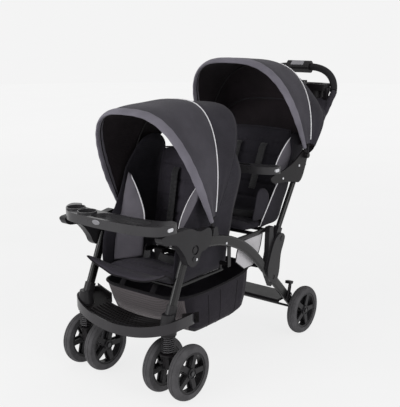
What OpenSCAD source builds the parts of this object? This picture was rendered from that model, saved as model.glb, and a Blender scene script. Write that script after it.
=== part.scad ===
// Tandem stroller: two seats in line, arched side frame, swivel front wheels.
// Millimetres. The front faces -Y, the sides are at -X and +X, and Z is up.

/* [Wheels] */
// Outer diameter of all six wheels
wheel_d = 196; // [184:2:200]
// Width of each tyre
tyre_w = 32; // [26:1:34]
// Radial thickness of the tyre
tyre_t = 25; // [20:1:30]
// Number of spokes in each rim
spokes = 5; // [4:1:6]
// Diameter of the wheel axles
axle_d = 10; // [8:1:12]
// Sideways distance of each swivel stem inside the frame tubes
caster_inset = 22; // [19:1:25]
// Distance between the two wheel planes of one caster
caster_gap = 110; // [108:1:114]
// Fore and aft position of the swivel stems
stem_y = -513; // [-518:1:-509]
// Distance the front axle trails behind its stem
caster_trail = 38; // [34:1:42]
// Sideways distance of the rear wheel planes outside the frame tubes
rear_wheel_out = 32; // [31:1:36]

/* [Suspension] */
// Length of each coil spring
spring_len = 66; // [60:1:68]
// Mean radius of the spring coil
spring_r = 22.5; // [19:0.5:23]
// Radius of the spring wire
wire_r = 2.6; // [2.2:0.1:2.7]
// Number of curls in each spring
curls = 8; // [7:1:9]
// Diameter of the swivel stem
stem_d = 16; // [14:1:18]

/* [Frame] */
// Room beside the front seat pad, to the middle of the frame tubes
front_room = 56; // [55:0.5:58]
// Room beside the rear seat pad, to the middle of the frame tubes
rear_room = 44; // [43:0.5:46]
// Width of the arched leg tube
arch_w = 18; // [16:1:18]
// Depth of the arched leg tube
arch_deep = 38; // [34:1:40]
// Height of the top of the arch
arch_top = 517; // [513:1:521]
// Fore and aft position where the arch starts to curve
arch_y = -360; // [-364:1:-356]
// Bend radius of the arch
arch_r = 480; // [472:2:488]
// Slope of the rear leg
arch_slope = 44; // [43:0.25:45]
// Fore and aft position of the front leg pivot
hub_y = -421; // [-424:1:-418]
// Height of the front leg pivot
hub_z = 480; // [477:1:483]
// Width of the front leg tube
leg_w = 20; // [16:1:20]
// Depth of the front leg tube
leg_deep = 34; // [28:1:36]
// Sideways distance of the front legs inside the frame tubes
leg_inset = 23.5; // [23.5:0.5:25]

/* [Push frame] */
// Fore and aft position of the folding pivot
fold_y = 118; // [116:1:120]
// Height of the folding pivot
fold_z = 432; // [430:1:434]
// Diameter of the push tube
push_d = 21; // [19:0.5:21]
// Slope of the lower push tube
push_low = 58; // [57:0.5:59]
// Slope of the upper push tube
push_high = 47; // [46:0.5:48]
// Length of the lower push tube up to the bend
push_len = 265; // [262:1:268]
// Reach of the handle past the bend
handle_reach = 548; // [542:2:554]
// Corner radius of the handle
handle_bend = 160; // [150:2:165]
// Diameter of the handle grip
grip_d = 29; // [26:1:31]

/* [Seats] */
// Width of the front seat pad
front_seat_w = 322; // [310:2:324]
// Thickness of the seat pads
pad_t = 32; // [28:1:34]
// Backward lean of the front backrest
front_lean = 10; // [9:0.5:12]
// Height of the front backrest
front_back_h = 372; // [360:2:376]
// Width of the rear seat pad
rear_seat_w = 346; // [336:2:348]
// Backward lean of the rear backrest
rear_lean = 24; // [23.5:0.5:25]
// Height of the rear backrest
rear_back_h = 352; // [340:2:360]

/* [Canopies] */
// Reach of the front canopy's front bow
front_rim_h = 442; // [432:2:452]
// Reach of the front canopy's middle bow
front_mid_h = 424; // [414:2:434]
// Reach of the rear canopy's front bow
rear_rim_h = 398; // [390:2:406]
// Reach of the rear canopy's middle bow
rear_mid_h = 344; // [336:2:352]
// Radius of the bow rods
bow_r = 3.2; // [2.6:0.1:3.2]
// Thickness of the canopy cloth
cloth_t = 2.4; // [2:0.2:3]

/* [Basket] */
// Height of the basket floor
basket_low = 170; // [164:2:178]
// Depth of the basket
basket_deep = 172; // [160:2:176]
// Half width of the basket rim
basket_half_w = 192; // [184:2:194]

/* [Trays] */
// Height of the front tray's seat on the side brackets
front_tray_z = 590; // [586:1:594]
// Thickness of the child trays
tray_t = 32; // [28:1:34]
// Radius of the cup wells in the front tray
child_cup_r = 30; // [26:1:31]
// Height of the rear tray's seat on its brackets
rear_tray_z = 690; // [687:1:693]
// Radius of the cup wells in the parent tray
parent_cup_r = 37; // [34:1:38]
// Height of the parent tray's top over its clamps
parent_lift = 49; // [46:1:52]

/* [Hidden] */
$fn = 48;
// Gap between pieces that rest on each other
seat_gap = 0.3;
// Radial clearance of a running fit
run_gap = 0.05;
// Straight tubes run this far into their bends, and are this much thinner
lap = 2;
lap_step = 0.1;
frame_x = max(front_seat_w / 2 + front_room, rear_seat_w / 2 + rear_room);
leg_x = frame_x - leg_inset;
caster_x = frame_x - caster_inset;
rear_wheel_x = frame_x + rear_wheel_out;
wheel_r = wheel_d / 2;
rim_r = wheel_r - tyre_t;
axle_r = axle_d / 2;
axle_z = wheel_r;
front_axle_y = stem_y + caster_trail;
hub_len = tyre_w + 2;
stem_r = stem_d / 2;
housing_z = wheel_d + 44;
collar_t = 6;
collar_low = housing_z - seat_gap - collar_t;
fork_top = collar_low - spring_len;
fork_low = axle_z + 14;
arch_c = [arch_y, arch_top - arch_r];
arch_end = arch_c + arch_r * dir(90 - arch_slope);
rear_leg_len = (arch_end[1] - axle_z) / sin(arch_slope);
rear_axle_y = arch_end[0] + rear_leg_len * cos(arch_slope);
arch_in = frame_x - arch_w / 2;
arch_out = frame_x + arch_w / 2;
hub = [hub_y, hub_z];
leg_foot = [stem_y + 8, housing_z + 46];
leg_dir = (hub - leg_foot) / norm(hub - leg_foot);
leg_len = norm(hub - leg_foot);
leg_pin_r = 6;
hub_in = leg_x + leg_w / 2 + 2;
hub_out = frame_x + 17;
fold = [fold_y, fold_z];
fold_pin_r = 7;
push_r = push_d / 2;
low_dir = dir(push_low);
high_dir = dir(push_high);
push_start = fold + [-30, -6];
push_bend = push_start + push_len * low_dir;
bend_r = 200;
bend_t = bend_r * tan((push_low - push_high) / 2);
grip_r = grip_d / 2;
recline = [-188, 398];
recline_r = 8;
rail_r = 8;
rail_z = 474;
rail_x = arch_in - seat_gap - rail_r;
slat_r = 7;
front_tube_r = 8;
side_tube_r = 7;
side_tube_x = front_seat_w / 2 + 5.5;
front_tube = [-430, 370];
front_seat_z = front_tube[1] + front_tube_r + seat_gap;
rear_seat_z = rail_z + slat_r + seat_gap;
rear_back = [150, 500];
front_pivot = [-288, arch_top + 31];
tray_pivot = [frame_x + 2, -535];
brake_pin = [186, 170];
rear_pivot = [272, 735];
pivot_r = 5;
eye_t = 2 * bow_r;
rim_x = hub_out + 0.5 + bow_r;
mid_x = rim_x + eye_t + 0.5;
back_x = mid_x + eye_t + 0.5;
clip_in = arch_in + 7.3;
clip_t = 6.7;
front_rim_x = clip_in - 0.5 - bow_r;
front_mid_x = front_rim_x - eye_t - 0.5;
front_back_x = front_mid_x - eye_t - 0.5;
front_rim = [-25.2, front_rim_h, front_rim_x, 3];
front_mid = [11, front_mid_h, front_mid_x, 2.5];
front_back = [30.8, front_mid_h + 39, front_back_x, 3];
rear_rim = [-26.4, rear_rim_h, rim_x, 3];
rear_mid = [8.6, rear_mid_h, mid_x, 2.5];
rear_last = [41, rear_mid_h - 89, back_x, 4];
black = "#232225";
grey = "#4b494d";
cloth = "#4a484f";
dark_cloth = "#2c2b30";
silver = "#c9c9cb";

// Points and curves

function dir(a) = [cos(a), sin(a)];
function side(x, p) = [x, p[0], p[1]];
function unit(v) = v / norm(v);

// One point of a closed smooth curve
function curve_at(a, b, c, d, t) =
  0.5 * (2 * b + (c - a) * t + (2 * a - 5 * b + 4 * c - d) * t * t
  + (3 * b - a - 3 * c + d) * t * t * t);

// Closed smooth outline through the points
function smooth(p, n = 4) =
  let (m = len(p))
  [for (i = [0 : m - 1]) for (k = [0 : n - 1])
    curve_at(p[(i + m - 1) % m], p[i], p[(i + 1) % m], p[(i + 2) % m], k / n)];

// Point of a bow: [tilt, reach, half width, squareness], at angle t, grown by g
function bow_point(pivot, bow, t, g = 0) =
  let (e = 2 / bow[3])
  let (x = (bow[2] + g) * sign(cos(t)) * pow(abs(cos(t)), e))
  let (s = (bow[1] + g) * pow(max(sin(t), 0), e))
  [x, pivot[0] + s * sin(bow[0]), pivot[1] + s * cos(bow[0])];

// Angle on a bow at a distance s from its pivot
function bow_start(bow, s) = asin(pow(s / bow[1], bow[3] / 2));

function mix(a, b, t) = a * (1 - t) + b * t;

// Small building blocks

module both_sides() {
  children();
  mirror([1, 0, 0]) children();
}

// Flat piece drawn in side view between two sideways positions
module side_plate(x0, x1) {
  translate([x0, 0, 0]) rotate([90, 0, 90]) linear_extrude(x1 - x0) children();
}

module rod(a, b, r) {
  d = b - a;
  turn = [0, acos(d[2] / norm(d)), atan2(d[1], d[0])];
  translate(a) rotate(turn) cylinder(r = r, h = norm(d));
}

module cross_rod(p, x0, x1, r) {
  translate(side(x0, p)) rotate([0, 90, 0]) cylinder(r = r, h = x1 - x0);
}

module oval(w, d) {
  translate([0, d / 2 - w / 2]) circle(w / 2);
  translate([0, w / 2 - d / 2]) circle(w / 2);
  square([w, d - w], center = true);
}

module oval_bar(p, q, x, w, d) {
  v = q - p;
  translate(side(x, p)) rotate([atan2(v[1], v[0]) - 90, 0, 0]) linear_extrude(norm(v)) oval(w, d);
}

module oval_arc(c, r, a0, a1, x, w, d) {
  translate(side(x, c)) rotate([90, 0, 90]) rotate([0, 0, a0])
    rotate_extrude(angle = a1 - a0) translate([r, 0]) rotate(90) oval(w, d);
}

module round_rect(w, d, r) {
  square([w - 2 * r, d], center = true);
  square([w, d - 2 * r], center = true);
  for (i = [-1, 1]) for (j = [-1, 1]) translate([i * (w / 2 - r), j * (d / 2 - r)]) circle(r);
}

// Closed skin between an outer and an inner grid of points
module skin(a, b) {
  m = len(a);
  n = len(a[0]);
  o = m * n;
  pts = concat([for (r = a) each r], [for (r = b) each r]);
  tops = [for (i = [0 : m - 2]) for (j = [0 : n - 2]) each
    [[i * n + j, i * n + j + 1, i * n + n + j + 1], [i * n + j, i * n + n + j + 1, i * n + n + j]]];
  lows = [for (f = tops) [f[2] + o, f[1] + o, f[0] + o]];
  ring = concat([for (j = [0 : n - 2]) j], [for (i = [0 : m - 2]) i * n + n - 1],
    [for (j = [n - 1 : -1 : 1]) (m - 1) * n + j], [for (i = [m - 1 : -1 : 1]) i * n]);
  k = len(ring);
  rims = [for (i = [0 : k - 1]) each
    [[ring[i], ring[i] + o, ring[(i + 1) % k] + o], [ring[i], ring[(i + 1) % k] + o, ring[(i + 1) % k]]]];
  polyhedron(pts, concat(tops, lows, rims));
}

// Bent rod along a path, with one reference direction per point
module path_rod(path, refs, r, sides) {
  m = len(path);
  along = [for (i = [0 : m - 1]) unit(path[min(i + 1, m - 1)] - path[max(i - 1, 0)])];
  one = [for (i = [0 : m - 1]) unit(refs[i] - along[i] * (refs[i] * along[i]))];
  two = [for (i = [0 : m - 1]) cross(along[i], one[i])];
  ring = [for (i = [0 : m - 1]) for (k = [0 : sides - 1])
    path[i] + r * (one[i] * cos(k * 360 / sides) + two[i] * sin(k * 360 / sides))];
  walls = [for (i = [0 : m - 2]) for (k = [0 : sides - 1])
    let (a = i * sides + k, b = i * sides + (k + 1) % sides)
    each [[a, a + sides, b + sides], [a, b + sides, b]]];
  last = (m - 1) * sides;
  ends = [for (k = [1 : sides - 2]) each [[0, k, k + 1], [last, last + k + 1, last + k]]];
  polyhedron(ring, concat(walls, ends));
}

// Wheels

module tyre() {
  crown = tyre_w * 0.78;
  rotate([0, 90, 0]) rotate_extrude($fn = 96) difference() {
    intersection() {
      translate([rim_r + run_gap, -tyre_w / 2]) square([tyre_t, tyre_w]);
      translate([wheel_r - crown, 0]) circle(crown);
    }
    for (s = [-1, 1]) translate([wheel_r - 1.6, s * tyre_w * 0.16 - 0.8]) square([4, 1.6]);
  }
}

module spoke() {
  face = hub_len / 2 - 4;
  for (z = [-face, face - 6]) translate([0, 0, z])
    linear_extrude(6) polygon([[8, -10], [rim_r - 6, -9], [rim_r - 6, 9], [8, 10]]);
  translate([0, 0, 3 - face]) linear_extrude(2 * face - 6)
    polygon([[8, -3], [rim_r - 6, -2.5], [rim_r - 6, 2.5], [8, 3]]);
}

module rim() {
  rotate([0, 90, 0]) difference() {
    union() {
      rotate_extrude($fn = 96) translate([rim_r - 8, 2 - tyre_w / 2]) square([8, tyre_w - 4]);
      translate([0, 0, -hub_len / 2]) cylinder(r = 19, h = hub_len);
      for (k = [0 : spokes - 1]) rotate([0, 0, 15 + k * 360 / spokes]) spoke();
    }
    cylinder(r = axle_r + run_gap, h = 2 * hub_len, center = true);
    translate([0, 0, hub_len / 2 - 2]) difference() {
      cylinder(r = 17, h = 4);
      cylinder(r = axle_r + 4, h = 10, center = true);
    }
  }
}

module front_wheel_at(s, k) {
  translate([s * (caster_x + k * caster_gap / 2), front_axle_y, axle_z])
    rotate([0, 0, s * k > 0 ? 0 : 180]) children();
}

module rear_wheel_at(s) {
  translate([s * rear_wheel_x, rear_axle_y, axle_z]) rotate([0, 0, s > 0 ? 0 : 180]) children();
}

// Front casters

module stem() {
  color(black) translate([caster_x, stem_y, 0]) {
    translate([0, 0, fork_low + 4]) cylinder(r = stem_r, h = housing_z + 36 - fork_low - 4);
    translate([0, 0, collar_low]) cylinder(r = spring_r + wire_r + 3, h = collar_t);
  }
}

// Spring: one helical tube, its least gap to itself measured on its points
spring_low = fork_top + wire_r + seat_gap;
spring_rise = collar_low - seat_gap - wire_r - spring_low;
spring_path = [for (i = [0 : 8 * curls])
  [spring_r * cos(i * 45), spring_r * sin(i * 45), spring_low + spring_rise * i / (8 * curls)]];
spring_gap = min([for (i = [0 : len(spring_path) - 5]) for (j = [i + 4 : len(spring_path) - 1])
  norm(spring_path[i] - spring_path[j])]) - 2 * wire_r;
echo(least_spring_gap_mm = spring_gap);

module spring() {
  refs = [for (i = [0 : 8 * curls]) [cos(i * 45), sin(i * 45), 0]];
  color(grey) translate([caster_x, stem_y, 0]) path_rod(spring_path, refs, wire_r, 6);
}

module fork() {
  axle = [front_axle_y, axle_z];
  color(black) difference() {
    union() {
      translate([caster_x, stem_y, fork_low]) cylinder(r = 15, h = fork_top - fork_low);
      translate([caster_x, stem_y, fork_top - 5]) cylinder(r = spring_r + wire_r + 3, h = 5);
      side_plate(caster_x - 13, caster_x + 13) {
        polygon([[stem_y - 14, fork_top - 16], [stem_y - 14, fork_low + 8], axle + [-15, -7],
          axle + [14, 8], [stem_y + 14, fork_top - 16]]);
        translate(axle) circle(17);
      }
      cross_rod(axle, caster_x - caster_gap / 2 + hub_len / 2 + seat_gap,
        caster_x + caster_gap / 2 - hub_len / 2 - seat_gap, 13);
    }
    translate([caster_x, stem_y, 0]) cylinder(r = stem_r + run_gap, h = 400);
    cross_rod(axle, 0, 400, axle_r + run_gap);
  }
}

module front_axle() {
  axle = [front_axle_y, axle_z];
  reach = caster_gap / 2 + hub_len / 2 + seat_gap;
  color(silver) {
    cross_rod(axle, caster_x - reach, caster_x + reach, axle_r);
    cross_rod(axle, caster_x + reach, caster_x + reach + 2.5, axle_r + 3);
    cross_rod(axle, caster_x - reach - 2.5, caster_x - reach, axle_r + 3);
  }
}

// Front frame

module leg_line(grow = 0) {
  oval_bar(leg_foot, hub + leg_dir * 24, leg_x, leg_w + grow, leg_deep + grow);
}

module front_legs() {
  color(black) both_sides() difference() {
    leg_line();
    cross_rod(hub, 0, 400, leg_pin_r + run_gap);
  }
}

module caster_housings() {
  sleeve_end = leg_foot + leg_dir * 46;
  color(grey) both_sides() difference() {
    union() {
      translate([caster_x, stem_y, housing_z]) cylinder(r = 29, h = 22);
      translate([caster_x, stem_y, housing_z + 22]) cylinder(r1 = 29, r2 = 20, h = 44);
      oval_bar(leg_foot - leg_dir * 8, sleeve_end, leg_x, leg_w + 10, leg_deep + 8);
    }
    translate([caster_x, stem_y, 0]) cylinder(r = stem_r + run_gap, h = housing_z + 38);
    leg_line(0.2);
    translate([caster_x - 60, stem_y - 80, housing_z - 60]) cube([120, 160, 60]);
  }
}

foot_low = wheel_d + 14;
dish_r = 667;

// Half of the footrest's outline, drawn in by an inset
function foot_half(g) =
  let (w = caster_x + 38)
  [[100, g - 571], [160, g - 560], [w - 32 - 0.4 * g, 0.9 * g - 545], [w - 9 - 0.8 * g, 0.6 * g - 528],
    [w - g, -502], [w - g, -440], [w - 7 - g, -412 - 0.6 * g], [w - 27 - 0.8 * g, -405 - g]];

module footrest_outline(g) {
  right = foot_half(g);
  left = [for (k = [len(right) - 1 : -1 : 0]) [-right[k][0], right[k][1]]];
  polygon(smooth(concat([[0, g - 577]], right, left)));
}

// Curved layer between two heights over the lowest line of the footrest, rising to the sides
module dish(low, high) {
  translate([0, -500, foot_low + dish_r]) rotate([90, 0, 0]) difference() {
    cylinder(r = dish_r - low, h = 300, center = true, $fn = 180);
    cylinder(r = dish_r - high, h = 310, center = true, $fn = 180);
  }
}

module footrest() {
  tall = 400;
  color(black) difference() {
    union() {
      intersection() {
        dish(0, 36);
        linear_extrude(tall) difference() {
          footrest_outline(0);
          footrest_outline(5);
          translate([-170, -460]) square([340, 80]);
        }
      }
      intersection() {
        dish(16, 22);
        linear_extrude(tall) difference() {
          footrest_outline(1);
          translate([-170, -438]) square([340, 80]);
        }
      }
      intersection() {
        dish(21, 26);
        for (k = [0 : 6]) translate([-150, -552 + k * 16, 0]) cube([300, 6, tall]);
      }
    }
    both_sides() {
      translate([caster_x, stem_y, 0]) cylinder(r = 29 + seat_gap, h = housing_z + 22 + seat_gap);
      translate([caster_x, stem_y, housing_z + 22])
        cylinder(r1 = 29 + seat_gap, r2 = 20 + seat_gap, h = 44);
      oval_bar(leg_foot - leg_dir * 8, hub, leg_x, leg_w + 11, leg_deep + 9);
    }
  }
}

// Side frame

module arch_line(grow = 0) {
  w = arch_w + grow;
  d = arch_deep + grow;
  down = dir(-arch_slope);
  oval_arc(arch_c, arch_r, 90 - arch_slope, 92, frame_x, w, d);
  foot = arch_end + (rear_leg_len + 20) * down;
  oval_bar(arch_end - lap * down, foot, frame_x, w - lap_step, d - lap_step);
}

module arch_legs() {
  color(black) both_sides() {
    difference() {
      arch_line();
      cross_rod([rear_axle_y, axle_z], 0, 400, axle_r + run_gap);
    }
    cross_rod(brake_pin, arch_out - 1, arch_out + 6, 5);
  }
}

hub_outline = smooth([[-578, front_tray_z - 22], [-560, front_tray_z - 34], [-510, hub_z + 66],
  [-470, hub_z + 22], [-452, hub_z - 12], [-424, hub_z - 26], [-398, hub_z - 12], [-384, hub_z + 14],
  [-356, hub_z + 20], [-330, hub_z + 36], [-326, hub_z + 74], [-344, hub_z + 92],
  [-390, hub_z + 88], [-440, hub_z + 108], [-480, front_tray_z - 1], [-575, front_tray_z - 3]]);

// Clip that sits on the arch and carries the front canopy's pin
module canopy_clip() {
  pin_end = front_back_x - bow_r - 0.6;
  difference() {
    side_plate(clip_in, clip_in + clip_t) {
      translate(front_pivot) circle(13);
      polygon([front_pivot + [-12.5, 0], front_pivot + [-22, -40], front_pivot + [22, -40],
        front_pivot + [12.5, 0]]);
    }
    arch_line(0.2);
  }
  cross_rod(front_pivot, pin_end, clip_in + 1, pivot_r);
  cross_rod(front_pivot, pin_end - 2, pin_end, pivot_r + 5);
}

module hub_plates() {
  color(grey) both_sides() {
    difference() {
      side_plate(hub_in, hub_out) intersection() {
        polygon(hub_outline);
        translate([-700, 0]) square([500, front_tray_z]);
      }
      arch_line(0.2);
      cross_rod([hub_y + 6, hub_z + 30], hub_out - 4, hub_out + 4, 17);
    }
    cross_rod([hub_y + 6, hub_z + 30], hub_out - 5, hub_out - 1, 11);
    cross_rod(hub, leg_x - leg_w / 2, hub_in + 1, leg_pin_r);
    cross_rod(hub, hub_out - 1, hub_out + 2, 9);
    canopy_clip();
  }
  color(grey) translate([-tray_pivot[0], tray_pivot[1], front_tray_z - 1]) cylinder(r = 6, h = 14);
}

// Seat tubes: the front seat's ladder and the rear seat's rails

function arch_height(y) = arch_c[1] + sqrt(arch_r * arch_r - (y - arch_c[0]) * (y - arch_c[0]));

module seat_tubes() {
  top = arch_height(recline[0]);
  hang_x = arch_in - seat_gap;
  color(black) {
    cross_rod(recline, -hang_x, hang_x, recline_r);
    cross_rod(front_tube, -side_tube_x - 9, side_tube_x + 9, front_tube_r);
    for (y = [-20, 52]) cross_rod([y, rail_z], -rail_x, rail_x, slat_r);
    both_sides() {
      side_plate(hang_x - 4, hang_x)
        polygon([recline + [-9, -9], recline + [9, -9], [-179, top], [-197, top]]);
      rod(side(side_tube_x, front_tube), [side_tube_x, recline[0] + 10, front_tube[1]], side_tube_r);
      rod([side_tube_x, recline[0], front_tube[1]], side(side_tube_x, recline), side_tube_r - 1);
      rod([rail_x, -164, rail_z], [rail_x, 66, rail_z], rail_r);
    }
  }
}

// Seat of the push bracket, square to the push tube
bracket_low = push_start - 10 * low_dir;
square_dir = [sin(push_low), -cos(push_low)];

module fold_joints() {
  rest = bracket_low - 0.5 * low_dir;
  color(grey) both_sides() {
    difference() {
      union() {
        side_plate(arch_in, arch_out + 2.3) polygon([[16, 330], [36, 392], [40, rail_z + 16],
          [66, rail_z + 16], rest - 15 * square_dir, rest + 21 * square_dir, [104, 384], [98, 296],
          [60, 250]]);
        side_plate(arch_out + 2, arch_out + 10) polygon(smooth([[22, 322], [40, 380], [66, 430],
          [96, 452], [122, 452], [138, 436], [130, 410], [112, 370], [102, 300], [78, 262], [40, 280]]));
      }
      arch_line(0.2);
      cross_rod([62, 290], arch_out + 8, arch_out + 20, 9);
    }
    cross_rod(fold, arch_in - 6, arch_out + 10, fold_pin_r);
    cross_rod(fold, arch_in - 9, arch_in - 6, fold_pin_r + 4);
    cross_rod(fold, arch_out + 9, arch_out + 12, fold_pin_r + 3);
  }
}

module rear_axle() {
  axle = [rear_axle_y, axle_z];
  low = rear_wheel_x - hub_len / 2 - seat_gap;
  high = rear_wheel_x + hub_len / 2 + seat_gap;
  color(silver) {
    cross_rod(axle, -high, high, axle_r);
    both_sides() {
      cross_rod(axle, arch_out + seat_gap, low, axle_r + 4);
      cross_rod(axle, high, high + 2.5, axle_r + 3);
    }
  }
}

platform_z = 168;

module platform() {
  half = arch_in - seat_gap;
  color(black) {
    translate([-half, 142, platform_z - 10]) cube([2 * half, 106, 10]);
    cross_rod([146, platform_z - 10], -half, half, 8);
    cross_rod([244, platform_z - 10], -half, half, 8);
  }
}

module brake_pedal() {
  pin = brake_pin;
  color(black) difference() {
    side_plate(arch_out + 0.6, arch_out + 6) {
      translate(pin) circle(12);
      polygon([pin + [-10, 4], pin + [8, 66], pin + [22, 62], pin + [11, -4]]);
    }
    cross_rod(pin, 0, 400, 5 + run_gap);
  }
  color(grey) side_plate(arch_in + 1, arch_out + 6)
    polygon([pin + [6, 54], pin + [8, 66], pin + [34, 60], pin + [31, 49]]);
}

// Soft pads: a rounded outline, a crown, drawn-in edges and sewn channels
piped_edge = 9;

function pad_edge(u, v) = pow(max(0, (1 - pow(abs(u), 7)) * (1 - pow(abs(v), 7))), 0.5);
function channel(v, rows) = rows < 1 ? 0 :
  max([for (k = [1 : rows]) exp(-pow((v + 1 - 2 * k / (rows + 1)) / 0.045, 2))]);
function pad_lift(u, v, t, rows, crown) =
  let (dome = t - piped_edge - crown * (u * u + v * v) / 2)
  piped_edge + pad_edge(u, v) * (dome - 4.5 * channel(v, rows) * (1 - pow(u, 6)));

module pad(w, l, t, rows, crown, taper = 0) {
  nu = 14;
  nv = 24;
  grid = [for (i = [0 : nu]) [for (j = [0 : nv])
    let (u = sin(90 * (2 * i / nu - 1)), v = 2 * j / nv - 1)
    let (wide = w / 2 * (1 - taper * (v + 1) / 2))
    [u * wide * sqrt(1 - 0.16 * v * v * v * v), v * l / 2 * sqrt(1 - 0.08 * u * u), u, v]]];
  skin([for (r = grid) [for (p = r) [p[0], p[1], pad_lift(p[2], p[3], t, rows, crown)]]],
    [for (r = grid) [for (p = r) [p[0], p[1], max(abs(p[2]), abs(p[3])) > 0.999 ? 2.5 : 0]]]);
}

front_seat_len = 226;
rear_seat_len = 168;

module apron() {
  nu = 16;
  nv = 6;
  grid = [for (i = [0 : nu]) [for (j = [0 : nv])
    let (u = 2 * i / nu - 1, v = 1 - j / nv)
    let (fold_wave = 2.5 * v * cos(u * 540))
    [u * (front_seat_w / 2 + 2 + 12 * v), -446 - 58 * v + fold_wave,
      front_seat_z + 6 - 24 * v * v + 44 * v * u * u * abs(u)]]];
  skin([for (r = grid) [for (p = r) p + [0, -2, 3]]], [for (r = grid) [for (p = r) p + [0, 2, -3]]]);
}

module front_seat_pad() {
  color(dark_cloth) {
    translate([0, -222 - front_seat_len / 2, front_seat_z])
      pad(front_seat_w, front_seat_len, pad_t, 3, 8);
    apron();
  }
}

module rear_seat_pad() {
  color(dark_cloth) translate([0, -42 + rear_seat_len / 2, rear_seat_z])
    pad(rear_seat_w, rear_seat_len, pad_t, 2, 8);
}

module front_back_place() {
  translate(side(0, recline)) rotate([-front_lean, 0, 0]) children();
}

module front_back_board() {
  color(black) front_back_place() difference() {
    union() {
      translate([0, 17.5, 24 + (front_back_h - 30) / 2]) rotate([90, 0, 0])
        linear_extrude(5) round_rect(front_seat_w - 40, front_back_h - 30, 40);
      for (s = [-1, 1]) {
        translate([s * 110 - 20, 0, -4]) cube([40, 17, 24]);
        translate([s * 110 - 20, 12.5, 10]) cube([40, 5, 30]);
        translate([s * 110 - 20, 0, 0]) rotate([0, 90, 0]) cylinder(r = 12, h = 40);
      }
    }
    rotate([0, 90, 0]) cylinder(r = recline_r + run_gap, h = 500, center = true);
    translate([-250, -20, -20]) cube([500, 20, 8]);
  }
}

module front_backrest_pad() {
  color(dark_cloth) front_back_place() translate([0, 12.2, 22 + front_back_h / 2])
    rotate([90, 0, 0]) pad(front_seat_w - 2, front_back_h, pad_t, 5, 10, 0.06);
}

module rear_back_place() {
  translate(side(0, rear_back)) rotate([-rear_lean, 0, 0]) children();
}

// Cross bar: where the push tubes pass just behind the backrest board
function turn(a, b) = a[0] * b[1] - a[1] * b[0];
board_dir = [sin(rear_lean), cos(rear_lean)];
board_at = rear_back + 19.5 * [cos(rear_lean), -sin(rear_lean)];
cross_s = (turn(board_at - push_bend, board_dir) + 10.4) / turn(high_dir, board_dir);
cross_at = push_bend + cross_s * high_dir;

module rear_back_frame() {
  color(black) {
    rear_back_place() translate([0, 22, 20 + (rear_back_h - 40) / 2]) rotate([90, 0, 0])
      linear_extrude(5) round_rect(rear_seat_w - 50, rear_back_h - 40, 40);
    cross_rod(cross_at, -frame_x + push_r + 0.2, frame_x - push_r - 0.2, 9);
  }
}

module rear_backrest_pad() {
  color(dark_cloth) rear_back_place() translate([0, 16.7, 8 + rear_back_h / 2])
    rotate([90, 0, 0]) pad(rear_seat_w - 8, rear_back_h, pad_t, 5, 10, 0.06);
}

// Side panel outline: a smooth curve closed by a straight foot
module panel_outline(pts, foot) {
  intersection() {
    polygon(smooth(pts));
    translate([-700, foot]) square([1200, 600]);
  }
}

module side_panels() {
  front_x = side_tube_x - 2.5;
  rear_x = rear_seat_w / 2 + 4;
  color(cloth) both_sides() {
    side_plate(front_x, front_x + 5) panel_outline([[-416, 360], [-448, 430], [-474, 510], [-470, 566],
      [-420, 580], [-330, 566], [-262, 500], [-224, 430], [-222, 360]],
      front_seat_z);
    side_plate(rear_x, rear_x + 5) panel_outline([[-30, 470], [-44, 530], [-30, 600], [20, 644],
      [90, 640], [124, 580], [128, 520], [112, 470]], rear_seat_z);
  }
}

module harness_buckles() {
  color(black) {
    translate([-19, -336, front_seat_z + pad_t + seat_gap]) cube([38, 14, 44]);
    translate([-19, 24, rear_seat_z + pad_t + seat_gap]) cube([38, 14, 44]);
  }
}

// Basket: an open bag with a sagging rim

function basket_ring(k, j, g) =
  let (a = j * 360 / 32, e = 2 / 5)
  let (c = sign(cos(a)) * pow(abs(cos(a)), e), s = sign(sin(a)) * pow(abs(sin(a)), e))
  let (f = [1, 1, 0.985, 0.95, 0.86, 0.6, 0.3][k], d = [0, 0.3, 0.62, 0.86, 0.97, 1, 1][k])
  let (y = -222 + s * ((238 - 30 * d) * f - g) + 10 * d)
  let (floor = basket_low + max(0, -330 - y) * 0.45)
  let (rim = basket_low + basket_deep - 14 * (1 - s * s) + 6 * s)
  [c * (basket_half_w * f - g), y, mix(rim, floor + g, d)];

module basket() {
  rings = 7;
  outer = [for (k = [0 : rings - 1]) for (j = [0 : 31]) basket_ring(k, j, 0)];
  inner = [for (k = [0 : rings - 1]) for (j = [0 : 31]) basket_ring(k, j, 2.4)];
  o = rings * 32;
  low = 2 * o;
  walls = [for (k = [0 : rings - 2]) for (j = [0 : 31])
    let (a = k * 32 + j, b = k * 32 + (j + 1) % 32)
    each [[a, b, b + 32], [a, b + 32, a + 32]]];
  ins = [for (f = walls) [f[2] + o, f[1] + o, f[0] + o]];
  rim = [for (j = [0 : 31]) let (b = (j + 1) % 32) each [[j, j + o, b + o], [j, b + o, b]]];
  base = [for (j = [0 : 31]) let (a = (rings - 1) * 32 + j, b = (rings - 1) * 32 + (j + 1) % 32)
    each [[a, b, low], [a + o, low + 1, b + o]]];
  mid = [0, -212, basket_low];
  rim_z = basket_low + basket_deep - 6;
  strap_z = front_tube[1] - front_tube_r - seat_gap;
  hook_z = arch_end[1] - 36;
  color(dark_cloth) {
    polyhedron(concat(outer, inner, [mid, mid + [0, 0, 2.4]]), concat(walls, ins, rim, base));
    both_sides() {
      cross_rod([-4, hook_z], basket_half_w - 46, arch_in - seat_gap, 5);
      side_plate(60, 84) polygon([[-434, strap_z], [-426, strap_z], [-452, rim_z - 8], [-462, rim_z - 8]]);
    }
  }
}

// Canopies

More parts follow.
